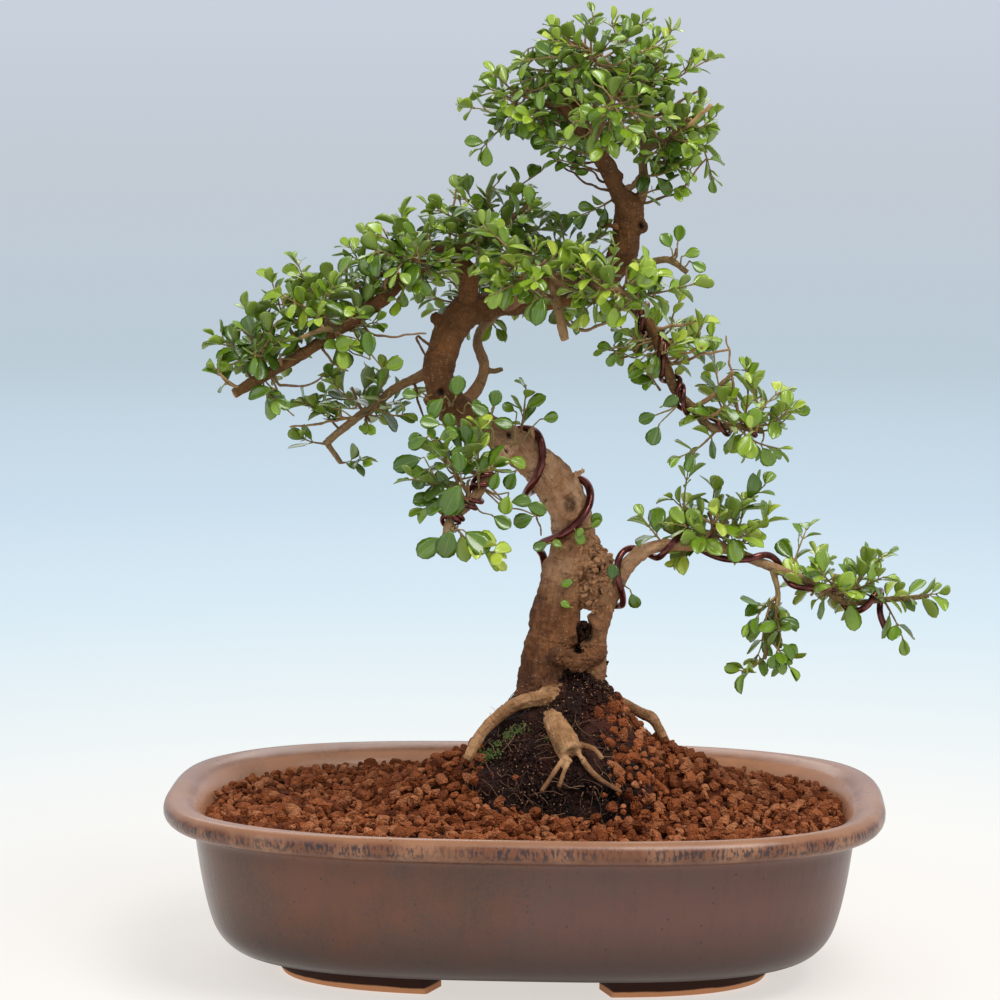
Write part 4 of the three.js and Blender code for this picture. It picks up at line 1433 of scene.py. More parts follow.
def shapeBark(wood, points, near):
    across, down, far = seen(points)
    radiusHere = woodRadius[near]
    owner = woodOwner[near]
    offset = points - woodAt[near]
    slip, side, other = ((offset * way[near]).sum(axis=1) for way in (woodTangent, woodNormal, woodBinormal))
    straight = np.stack((side, other, woodAlong[near] + slip), -1)
    # Lumps, ridges and rings, larger on thicker wood
    thick = np.clip(radiusHere / 8, 0.12, 1.3)
    lumps = roughness(straight * (1, 1, 0.6), 5.0, 3, 1.2) * 1.0 * thick
    ridges = roughness(straight * (1, 1, 0.22), 1.8, 2, 4.4) * 0.4 * np.sqrt(thick)
    ringed = roughness(straight * (0.15, 0.15, 1), 2.4, 2, 7.1) * 0.32 * np.sqrt(thick)
    shift = lumps + ridges + ringed
    burl = np.zeros(len(points))
    torn = np.zeros(len(points))
    for place, radius, bare in wooden["lumpy"]:
        swell = markAbout(points, place, radius)
        burl = np.maximum(burl, swell)
        torn = np.maximum(torn, swell * bare)
    shift += burl * np.abs(roughness(points, 2.6, 4, 9.3)) * 3.0 - burl * 0.6
    dark = np.zeros(len(points))
    for u, v, radius, deep, share in hollows:
        spread = np.hypot(across - u, down - v)
        if not (spread < 4).any():
            continue
        rim = points[np.where(spread < 4, far, 1e9).argmin()]
        gap = np.linalg.norm((points - rim) * (1, 1, 0.85), axis=1) / radius
        bowl = np.clip(1 - gap**2, 0, 1)
        lip = min(radius / 2.4, 1.7)
        shift += 0.5 * np.exp(-(((gap - 1.25) / 0.35) ** 2)) * lip - deep * bowl
        if radius > 2.4:
            shift += 0.45 * np.cos(gap * 9.0) * np.exp(-((gap / 1.7) ** 2))
        # Painted shade inside the hole, strongest in its bowl; a large hole also gets a dark ring within its
        # rim.
        holeShade = np.clip(bowl * 1.9 - 0.35, 0, 1)
        if radius > 4.2:
            holeShade = np.maximum(0.5 * holeShade, np.exp(-(((gap - 0.62) / 0.24) ** 2)))
            holeShade = holeShade * (1.0 + 0.6 * roughness(points, 1.4, 2, 3.9))
        dark = np.maximum(dark, share * np.clip(holeShade, 0, 1))
    points = points + normalsOf(wood) * shift[:, None]
    movePoints(wood, points)
    mark(wood, "straight", straight)
    # The hollow value: painted shade in the holes, and dark patches over the burl.
    mark(wood, "hollow", np.maximum(dark, np.clip(burl * roughness(points, 1.6, 2, 2.2) * 1.1 - 0.1, 0, 0.6)))
    grown = owner < rootStart
    lowShare, lowHeight = wooden["fairLow"]
    stubShare, stubPlace, stubRadius = wooden["fairStub"]
    fair = lowShare * (owner == 1) * (points[:, 2] < lowHeight)
    fair = fair + wooden["fairSide"] * ((owner > 4) & grown)
    fair = fair + stubShare * markAbout(points, stubPlace, stubRadius, power=4)
    mark(wood, "torn", np.clip(np.maximum(torn, fair), 0, 1.1))
    bottom, fade, least = wooden["rootFade"]
    isRoot = ~grown & (owner < rootStart + 8)
    mark(wood, "root", isRoot * np.clip((points[:, 2] - bottom) / fade, least, 1))
    mark(wood, "young", np.clip((2.9 - radiusHere) / 1.4, 0, 1) * grown)
    cut = np.zeros(len(points))
    for place, radius in wooden["cuts"]:
        gap = np.linalg.norm(points - at(*place), axis=1)
        cut = np.maximum(cut, np.clip((radius - gap) * 1.5, 0, 1))
    mark(wood, "cut", cut)
    low = np.clip((potTop + wooden["mossBelow"] - points[:, 2]) / 26, 0, 1)
    mark(wood, "mossy", low * np.clip(roughness(points, 9.0, 2, 6.6) * 1.5, 0, 1))


# The torn burl: chips of dead bark that stand off its surface.
flakes = {
    "across": (580, 613),
    "down": (536, 612),
    "before": 12,
    "count": 300,
    "size": (0.6, 2.5),
    "flatness": 0.45,
}


def makeFlakes(wood):
    draw = np.random.default_rng(47)
    points = pointsOf(wood)
    across, down = seen(points)[:2]
    left, right = flakes["across"]
    high, low = flakes["down"]
    chosen = (across > left) & (across < right) & (down > high) & (down < low)
    where = points[chosen & (points[:, 1] < flakes["before"])]
    where = where[draw.permutation(len(where))[:flakes["count"]]]
    shapes, faces = lumpShapes(8, 1, 13)
    stock = [shape * (1, flakes["flatness"], 1) for shape in shapes], faces
    sizes = draw.uniform(*flakes["size"], len(where))
    made = scatter("burlFlakes", stock, where, sizes, draw, barkMaterial, smooth=False)
    mark(made, "hollow", perLump(np.clip(draw.normal(-0.1, 0.3, len(where)), 0, 0.7), stock))
    mark(made, "straight", pointsOf(made))
    mark(made, "torn", np.ones(len(made.data.vertices)))
    return made


# Peat caught behind the knuckle, between the trunk and the low branch: an upper and a lower heap of lumps.
packed = {
    "upper": dict(count=230, across=583, down=(624, 674), depth=(-2, 10)),
    "lower": dict(count=60, across=597, down=(646, 676), depth=(-2, 6)),
    "spread": 5,
    "size": (0.7, 2.2),
}


def makePackedPeat():
    draw = np.random.default_rng(53)
    stock = lumpShapes(6, 1, 17)
    upper = packed["upper"]
    lower = packed["lower"]
    spread = packed["spread"]
    where = []
    for _ in range(upper["count"]):
        down = draw.uniform(*upper["down"])
        where.append(at(upper["across"] + draw.normal() * spread, down, draw.uniform(*upper["depth"])))
    for _ in range(lower["count"]):
        across = lower["across"] + draw.normal() * spread
        where.append(at(across, draw.uniform(*lower["down"]), draw.uniform(*lower["depth"])))
    where = np.array(where)
    made = scatter("packedPeat", stock, where, draw.uniform(*packed["size"], len(where)), draw, peatMaterial)
    mark(made, "fibrous", perLump(draw.uniform(0, 0.6, len(where)), stock))
    return made


wood = makeWood()
for piece in (wood, makeFlakes(wood)):
    finishPiece(piece, "bark", "tree_wood")
finishPiece(makePackedPeat(), "peat", "root_ball")


# Training wires, wound as in the CAD: a limb, a radius, the turns as (station of the limb, degrees round it,
# stand-off), and the points of a free end.
wires = {
    "trunk_wire": (trunk, 1.8, [
        (1.6, 178, 2.6), (3, 176, 2.2), (5, 170, 1), (6.6, 155, 0.8), (7.6, 125, 1.5), (8.4, 90, 4),
        (9.1, 50, 2.4), (9.8, 0, 0.5), (11.1, -90, 0.8), (11.7, -180, 0.5), (12.4, -270, 3),
        (13.2, -360, 0.5), (14.1, -450, 0.5), (14.8, -520, 0.6),
    ], []),
    "front_wire_a": (frontLeft, 1.05, [
        (1.5, 200, 0.4), (2.2, 90, 0.4), (2.75, -90, 0.3), (3.2, -250, 0.3), (4.15, -450, 0.4),
        (4.6, -720, 0.3), (5.1, -1000, 0.3),
    ], []),
    "front_wire_b": (frontLeft, 1.05, [
        (1.9, 200, 0.4), (2.6, 90, 0.4), (3.13, -90, 0.3), (3.6, -250, 0.3), (4.43, -450, 0.4),
        (4.87, -720, 0.3), (5.37, -1000, 0.3),
    ], []),
    "mid_wire_a": (midRight, 1.1, [
        (1.5, 120, 1.2), (2.6, -60, 0.5), (3.5, -300, 0.4), (4.6, -400, 0.5), (5.6, -640, 0.4),
        (6.6, -820, 0.4), (8.3, -1020, 0.4), (9.0, -1300, 0.4), (9.8, -1500, 0.4),
    ], []),
    "mid_wire_b": (midRight, 1.1, [
        (1.95, 120, 0.9), (3.0, -60, 0.4), (3.9, -300, 0.4), (5.0, -400, 0.5), (6.0, -640, 0.4),
        (7.0, -820, 0.4),
    ], []),
    "low_wire": (lowRight, 1.5, [
        (3.35, -150, 0.6), (3.7, -90, 0.8), (4.7, 0, 0.5), (5.5, 90, 0.6), (6, 180, 0.5), (6.6, 270, 0.4),
        (7.2, 360, 0.4), (7.6, 450, 0.4), (8.1, 540, 0.4), (9, 630, 0.4), (9.8, 720, 0.4), (10.3, 810, 0.4),
        (10.8, 900, 0.4), (11.2, 990, 0.5), (12, 1080, 0.4), (12.6, 1170, 0.4), (12.9, 1260, 0.5),
        (13.2, 1350, 0.8), (13.6, 1440, 1), (13.85, 1530, 1.4),
    ], [(881, 592, 2), (880, 613, -2), (886, 630, -4)]),
}


winding = {
    "degreesAStep": 24,
    "stationTurn": 60,      # degrees of winding that count as one station along the limb
    "gap": 0.25,
    "sides": 12,
    "spacing": 1.1,
}


def makeWire(name, limb, radius, turns, tail):
    turns = np.array(turns, float)
    count = int(abs(turns[-1][1] - turns[0][1]) / winding["degreesAStep"]) + 10
    steps = np.abs(np.diff(turns[:, 1])) + winding["stationTurn"] * np.diff(turns[:, 0])
    travelled = np.concatenate(([0], np.cumsum(steps)))
    share = np.linspace(0, 1, count)
    station, degrees, standOff = (np.interp(share, travelled / travelled[-1], turns[:, k]) for k in range(3))
    centre = alongRoute(limb["points"], station)
    ahead = alongRoute(limb["points"], np.minimum(station + 0.01, len(limb["points"]) - 1))
    behind = alongRoute(limb["points"], station - 0.01)
    tangent = unit(ahead - behind)
    front = unit(np.array((0.0, -1.0, 0.0)) + tangent * tangent[:, 1:2])
    side = np.cross(front, tangent)
    reach = (radiusAt(limb, station) + radius + winding["gap"] + standOff * 0.7)[:, None]
    angle = np.radians(degrees)[:, None]
    path = centre + front * reach * np.cos(angle) + side * reach * np.sin(angle)
    if tail:
        path = np.vstack((path, places(tail)))
    fine = evenly(path, winding["spacing"])
    points, faces = tube(fine, radius, winding["sides"])
    points = points + roughness(points, 9.0, 2, 3.3)[:, None] * 0.05
    wire = newObject(name.title().replace("_", "") + "Strand", points, faces, wireMaterial)
    ends = np.minimum(np.linalg.norm(points - fine[0], axis=1), np.linalg.norm(points - fine[-1], axis=1))
    mark(wire, "cut", (ends < radius * 0.6) * 1.0)
    return wire


for node, (limb, radius, turns, tail) in wires.items():
    finishPiece(makeWire(node, limb, radius, turns, tail), "training_wire", node)


# Foliage. A pad has a middle (across, down, depth), half sizes in millimetres, a number of shoots, and the
# tone and length of its leaves.
# A lower tone gives older, darker leaves. The low tones of left_top and of the pads at the back also paint in
# the shade those pads lie in.
pads = {
    "crown_top": dict(middle=(600, 62, 0), half=(43, 37, 22), shoots=34, tone=0.5, leaf=8.6),
    "crown_left": dict(middle=(528, 106, 3), half=(27, 30, 20), shoots=20, tone=0.46, leaf=8.8),
    "crown_right": dict(middle=(670, 136, 0), half=(23, 31, 26), shoots=20, tone=0.5, leaf=8.8),
    "crown_front": dict(middle=(612, 112, -32), half=(26, 17, 20), shoots=15, tone=0.52, leaf=8.6),
    # Painted shade: a low tone at the back of the crown.
    "crown_back": dict(middle=(596, 122, 34), half=(30, 20, 24), shoots=18, tone=0.4, leaf=8.8),
    # Painted shade: a low tone for this shaded pad.
    "left_top": dict(middle=(492, 226, 2), half=(28, 32, 21), shoots=20, tone=0.34, leaf=9.4),
    "left_inner": dict(middle=(408, 260, -6), half=(30, 37, 20), shoots=21, tone=0.41, leaf=9.6),
    "left_middle": dict(middle=(330, 308, -14), half=(29, 37, 21), shoots=20, tone=0.42, leaf=9.8),
    "left_tip": dict(middle=(262, 352, -20), half=(22, 28, 18), shoots=14, tone=0.4, leaf=9.8),
    "left_low": dict(middle=(362, 404, 15), half=(29, 28, 17), shoots=13, tone=0.42, leaf=9.8),
    "centre": dict(middle=(566, 256, 8), half=(25, 24, 17), shoots=14, tone=0.46, leaf=9.2),
    "front_left": dict(middle=(528, 276, -36), half=(26, 22, 18), shoots=16, tone=0.66, leaf=10.0),
    "front_right": dict(middle=(610, 286, -44), half=(27, 22, 19), shoots=16, tone=0.68, leaf=10.0),
    # Painted shade: low tones for the pads at the back.
    "back_left": dict(middle=(478, 300, 60), half=(27, 26, 19), shoots=16, tone=0.36, leaf=9.6),
    "back_right": dict(middle=(552, 284, 68), half=(28, 26, 19), shoots=16, tone=0.36, leaf=9.6),
    "mid_inner": dict(middle=(664, 340, -6), half=(22, 26, 20), shoots=13, tone=0.74, leaf=10.0),
    "mid_tip": dict(middle=(744, 414, -8), half=(26, 25, 18), shoots=13, tone=0.72, leaf=10.0),
    "low_inner": dict(middle=(718, 524, 0), half=(31, 29, 17), shoots=17, tone=0.68, leaf=10.2),
    "low_outer": dict(middle=(836, 586, -6), half=(29, 25, 16), shoots=15, tone=0.69, leaf=10.4),
    "low_hanging": dict(middle=(767, 642, -17), half=(14, 13, 19), shoots=4, tone=0.46, leaf=10.4),
    "near_left": dict(middle=(452, 478, -44), half=(20, 18, 25), shoots=9, tone=0.3, leaf=12.4),
}
leafShape = {
    "along": (0.0, 0.12, 0.32, 0.55, 0.77, 0.92, 1.0),
    "width": (0.0, 0.34, 0.76, 1.0, 0.93, 0.58, 0.0),
    "across": (-1.0, -0.5, 0.0, 0.5, 1.0),
    "thick": 0.22,
    "scale": 1.14,
    "wide": (0.88, 1.12),
    "fold": (0.1, 0.65),
    "droop": (-0.12, 0.36),
    "twist": 0.2,
}
# How leaves stand on a shoot: degrees from it, how often one is missing, sizes, and tones.
shootLooks = {
    "lean": (38, 72),
    "missing": 0.14,
    "sizes": (0.66, 1.14),
    "tipSizes": (0.45, 0.75),
    # tones: darker toward a shoot's base inside the pad, for older leaves and painted shade; lighter toward
    # the tip.
    "tones": (-0.08, 0.28, 0.1),
    "tipTones": (0.18, 0.08),
}


# One leaf blade as a thin closed lens: its flat coordinates, its faces, and which faces are underneath.
def leafStock():
    rows = len(leafShape["along"]) - 2
    columns = len(leafShape["across"])
    flat = [(0.0, 0.0)]
    for row in range(rows):
        flat += [(side, leafShape["along"][row + 1]) for side in leafShape["across"]]
    flat.append((0.0, 1.0))
    tip = len(flat) - 1

    def cell(row, column):
        return 1 + row * columns + column

    upper = []
    for column in range(columns - 1):
        upper.append((0, cell(0, column + 1), cell(0, column)))
        upper.append((tip, cell(rows - 1, column), cell(rows - 1, column + 1)))
        for row in range(rows - 1):
            a, b = cell(row, column), cell(row, column + 1)
            c, d = cell(row + 1, column), cell(row + 1, column + 1)
            upper += [(a, b, d), (a, d, c)]
    copies = {}
    for row in range(rows):
        for column in range(1, columns - 1):
            copies[cell(row, column)] = len(flat)
            flat.append(flat[cell(row, column)])
    lower = [tuple(copies.get(i, i) for i in reversed(face)) for face in upper]
    isCopy = np.zeros(len(flat))
    isCopy[list(copies.values())] = 1
    return np.array(flat), isCopy, np.array(upper + lower), np.array([0] * len(upper) + [1] * len(lower))


leafFlat, leafIsLower, leafFaces, leafFaceUnder = leafStock()
leafWidth = np.interp(leafFlat[:, 1], leafShape["along"], leafShape["width"])


def leafPoints(base, heading, up, length, width, fold, droop, twist, draw):
    along = leafFlat[:, 1]
    side = leafFlat[:, 0] * leafWidth
    x = side * width / 2
    y = along * length
    wave = 0.05 * width * math.sin(draw.uniform(0, 6.28)) * np.sin(along * 9 + draw.uniform(0, 6.28))
    wave = wave * np.abs(side)
    z = fold * np.abs(side) * width / 2 - droop * length * along**2 + twist * side * along * width / 2 + wave
    z = z - leafIsLower * leafShape["thick"]
    z = z + (leafFlat[:, 0] == 0) * (1 - 2 * leafIsLower) * -0.03
    across = np.cross(heading, up)
    return base + x[:, None] * across + y[:, None] * heading + z[:, None] * up


# Places in the front view where a branch or a wire shows bare: across, down, radius, and the branch's depth.
bareSpots = [
    (250, 386, 9, -24), (268, 376, 8, -22), (285, 366, 8, -20), (302, 355, 8, -18), (319, 344, 8, -17),
    (336, 333, 7, -16), (352, 422, 8, 18), (368, 410, 7, 16), (384, 397, 7, 12), (400, 386, 8, 10),
    (418, 377, 9, 7), (474, 488, 13, -32), (452, 520, 13, -42), (655, 330, 7, -4), (656, 350, 8, -7),
    (664, 374, 8, -9), (680, 396, 7, -9), (722, 430, 7, -7), (764, 438, 7, -8), (600, 165, 9, 0),
    (616, 188, 9, 0), (629, 208, 10, 2), (628, 232, 12, 4), (640, 553, 9, -9), (664, 545, 8, -10),
    (684, 546, 6, -9), (806, 592, 9, -7), (836, 600, 7, -6), (866, 606, 9, -5), (446, 332, 14, 6),
    (452, 318, 14, 6), (440, 360, 12, 0), (564, 322, 9, -38), (558, 300, 8, -36), (555, 284, 7, -30),
    (566, 336, 9, -42), (700, 552, 5, -8), (745, 558, 5, -8),
]
bareAcross, bareDown, bareRadius = np.array(bareSpots, float).T[:3]
bareFar = seen(np.array([at(u, v, depth) for u, v, radius, depth in bareSpots]))[2]


def hidesBranch(place):
    across, down, far = (value[0] for value in seen(place[None]))
    inside = np.hypot(across - bareAcross, down - bareDown) < bareRadius + 4
    return bool((inside & (far < bareFar + 4)).any())


# Gathers the leaves and twigs of one pad until they become pieces.
class Foliage:
    def __init__(self, seed):
        self.draw = np.random.default_rng(seed)
        self.leaves = []
        self.tones = []
        self.twigs = []
        self.twigTones = []
        self.twigYoung = []

    def twig(self, path, thick, thin, tone=None, young=0.0, sides=5):
        path = np.asarray(path, float)
        radii = np.linspace(thick, thin, len(path)) * (1 + 0.1 * self.draw.normal(size=len(path)))
        part = tube(path, radii, sides)
        count = len(part[0])
        self.twigs.append(part)
        self.twigTones.append(np.full(count, self.draw.uniform(0.1, 0.8) if tone is None else tone))
        self.twigYoung.append(np.linspace(0.2 * young, young, count))

    def leaf(self, base, heading, up, length, tone, wide=0.66, stalk=1.3):
        draw = self.draw
        heading = unit(heading)
        if hidesBranch(base + heading * length * 0.5):
            return
        up = up - heading * np.dot(up, heading)
        if np.linalg.norm(up) < 0.1:
            up = np.cross(heading, (1.0, 0.2, 0.1))
        up = unit(up)
        blade = base + heading * stalk
        stem = [base, base + heading * stalk * 0.5 - up * 0.05, blade + heading * 0.5]
        self.twig(stem, 0.38, 0.3, 0.6, 1.0, 4)
        width = length * wide * draw.uniform(*leafShape["wide"])
        fold = draw.uniform(*leafShape["fold"])
        droop = draw.uniform(*leafShape["droop"])
        twist = draw.normal() * leafShape["twist"]
        self.leaves.append(leafPoints(blade, heading, up, length, width, fold, droop, twist, draw))
        self.tones.append(tone)

    # Leaves in opposite pairs along a shoot, each pair turned a quarter, and smaller toward the tip
    def leafyShoot(self, path, first, gap, length, tone, outward, young=0.4):
        draw = self.draw
        fine = evenly(np.asarray(path, float), 1.5)
        tangents, normals, binormals = carriedFrames(fine)
        run = runAlong(fine)
        base, rise, spread = shootLooks["tones"]
        self.twig(fine, 0.46 + 0.007 * run[-1], 0.28, None, young)
        spin = draw.uniform(0, math.pi)
        place = first
        while place < run[-1] - 1.5:
            i = int(np.searchsorted(run, place))
            share = place / run[-1]
            for way in (0, math.pi):
                if draw.random() < shootLooks["missing"]:
                    continue
                angle = spin + way + draw.normal() * 0.2
                side = normals[i] * math.cos(angle) + binormals[i] * math.sin(angle)
                lean = math.radians(draw.uniform(*shootLooks["lean"]) * (1.0 - 0.25 * share))
                heading = tangents[i] * math.cos(lean) + side * math.sin(lean)
                heading = unit(heading + np.array((0, 0, draw.uniform(-0.1, 0.25))))
                up = np.array((0, 0, 1.0)) + outward * 0.4 + tangents[i] * 0.2 + draw.normal(size=3) * 0.36
                size = leafShape["scale"] * length * draw.uniform(*shootLooks["sizes"])
                size = size * (1.0 - 0.25 * share**2)
                # Darker toward the shoot's base inside the pad: older leaves and painted shade.
                self.leaf(fine[i], heading, up, size, tone + base + rise * share**2 + draw.normal() * spread)
            spin += math.pi / 2
            place += gap * draw.uniform(0.8, 1.2) * (1 - 0.25 * share)
        base, spread = shootLooks["tipTones"]
        for _ in range(2):
            heading = unit(tangents[-1] + draw.normal(size=3) * 0.5)
            up = np.array((0, 0, 1.0)) + outward * 0.6 + draw.normal(size=3) * 0.4
            size = leafShape["scale"] * length * draw.uniform(*shootLooks["tipSizes"])
            self.leaf(fine[-1], heading, up, size, tone + base + draw.normal() * spread)

    def pieces(self, name):
        count = len(self.leaves)
        size = len(leafFlat)
        faces = (leafFaces[None] + (np.arange(count) * size)[:, None, None]).reshape(-1, 3)
        leaves = newObject(name + "Leaves", np.concatenate(self.leaves), faces, leafMaterial)
        mark(leaves, "blade", np.tile(np.column_stack((leafFlat, np.zeros(size))), (count, 1)))
        mark(leaves, "tone", np.repeat(np.clip(self.tones, 0.02, 0.98), size))
        mark(leaves, "under", np.tile(leafFaceUnder, count), "FACE")
        twigs = newObject(name + "Twigs", *together(self.twigs), twigMaterial)
        mark(twigs, "tone", np.concatenate(self.twigTones))
        mark(twigs, "young", np.concatenate(self.twigYoung))
        return leaves, twigs


def evenDirections(count, draw):
    index = np.arange(count) + 0.5
    tilt = np.arccos(1 - 2 * index / count)
    spin = math.pi * (1 + 5**0.5) * index + draw.uniform(0, 6.28)
    return np.stack((np.cos(spin) * np.sin(tilt), np.sin(spin) * np.sin(tilt), np.cos(tilt)), -1)


woodCarries = (woodOwner < rootStart) & (woodAt[:, 2] > potTop + 90)
allWood = woodAt[woodOwner < rootStart]
twigStarts = woodAt[woodCarries]
twigStartSize = woodRadius[woodCarries]


def bentPath(start, stop, draw, lift=0.16, sway=0.08):
    run = np.linalg.norm(stop - start)
    middle = start + (stop - start) * 0.5 + np.array((0, 0, -lift * run)) + draw.normal(size=3) * sway * run
    nearStart = start + (middle - start) * 0.5 + draw.normal(size=3) * sway * 0.4 * run
    nearStop = middle + (stop - middle) * 0.55 + draw.normal(size=3) * sway * 0.4 * run
    return np.array((start, nearStart, middle, nearStop, stop))


def nearestOf(points, place):
    return points[np.linalg.norm(points - place, axis=1).argmin()]


def fillPad(name, pad, seed):
    foliage = Foliage(seed)
    draw = foliage.draw
    middle = at(*pad["middle"])
    half = np.array(pad["half"], float)
    gaps = np.linalg.norm((twigStarts - middle) / half, axis=1) + 0.12 * np.maximum(twigStartSize - 3, 0)
    order = np.argsort(gaps)
    inside = order[gaps[order] < 0.8]
    sources = twigStarts[inside] if len(inside) > 6 else twigStarts[order[:6]]
    carriers = [sources]
    for direction in evenDirections(5, draw):
        stop = middle + direction * half * 0.5
        start = nearestOf(sources, stop)
        path = bentPath(start, stop, draw)
        if np.linalg.norm(stop - start) > 5 and half.min() > 15:
            fine = evenly(path, 2.0)
            foliage.twig(fine, 0.95, 0.6)
            carriers.append(fine)
    carriers = np.vstack(carriers)
    for direction in evenDirections(pad["shoots"], draw):
        reach = draw.uniform(0.66, 0.98)
        if direction[2] < -0.35:
            reach *= draw.uniform(0.6, 1.0)
        stop = middle + direction * half * reach
        start = nearestOf(carriers, middle + direction * half * 0.2)
        path = bentPath(start, stop, draw, 0.08)
        run = np.linalg.norm(stop - start)
        first = max(run * 0.18, run - 34)
        tone = pad["tone"] + draw.normal() * 0.1
        foliage.leafyShoot(path, first, 5.6, pad["leaf"], tone, unit(direction / half))
    for points, length, tone, gap in handShoots.get(name, ()):
        path = places(points)
        outward = unit(path[-1] - middle) + np.array((0, -0.4, 0))
        foliage.leafyShoot(path, gap * 0.9, gap, length, tone, outward)
    for points, thick, thin, tone in handTwigs.get(name, ()):
        fine = evenly(rooted(places(points)), 3.2)
        fine[1:] += draw.normal(size=fine[1:].shape) * 0.3
        foliage.twig(evenly(fine, 1.2), thick, thin, tone)
    for across, down, depth, length, heading, tone in handLeaves.get(name, ()):
        x, z = turned(1, 0, heading)
        start = at(across, down, depth) - np.array((x, 0, z)) * length * 0.5
        facing = np.array((draw.normal() * 0.25, -1.0, 0.45 + draw.normal() * 0.2))
        path = bentPath(nearestOf(allWood, start), start, draw, 0.12, 0.05)
        foliage.twig(evenly(path, 2.0), 0.5, 0.3, 0.5, 0.5)
        foliage.leaf(start, np.array((x, -0.15, z)), facing, length, tone, 0.76)
    return foliage


# A twig that starts near wood starts on it.
def rooted(path):
    gaps = np.linalg.norm(allWood - path[0], axis=1)
    return np.vstack((allWood[gaps.argmin()], path)) if 3 < gaps.min() < 40 else path


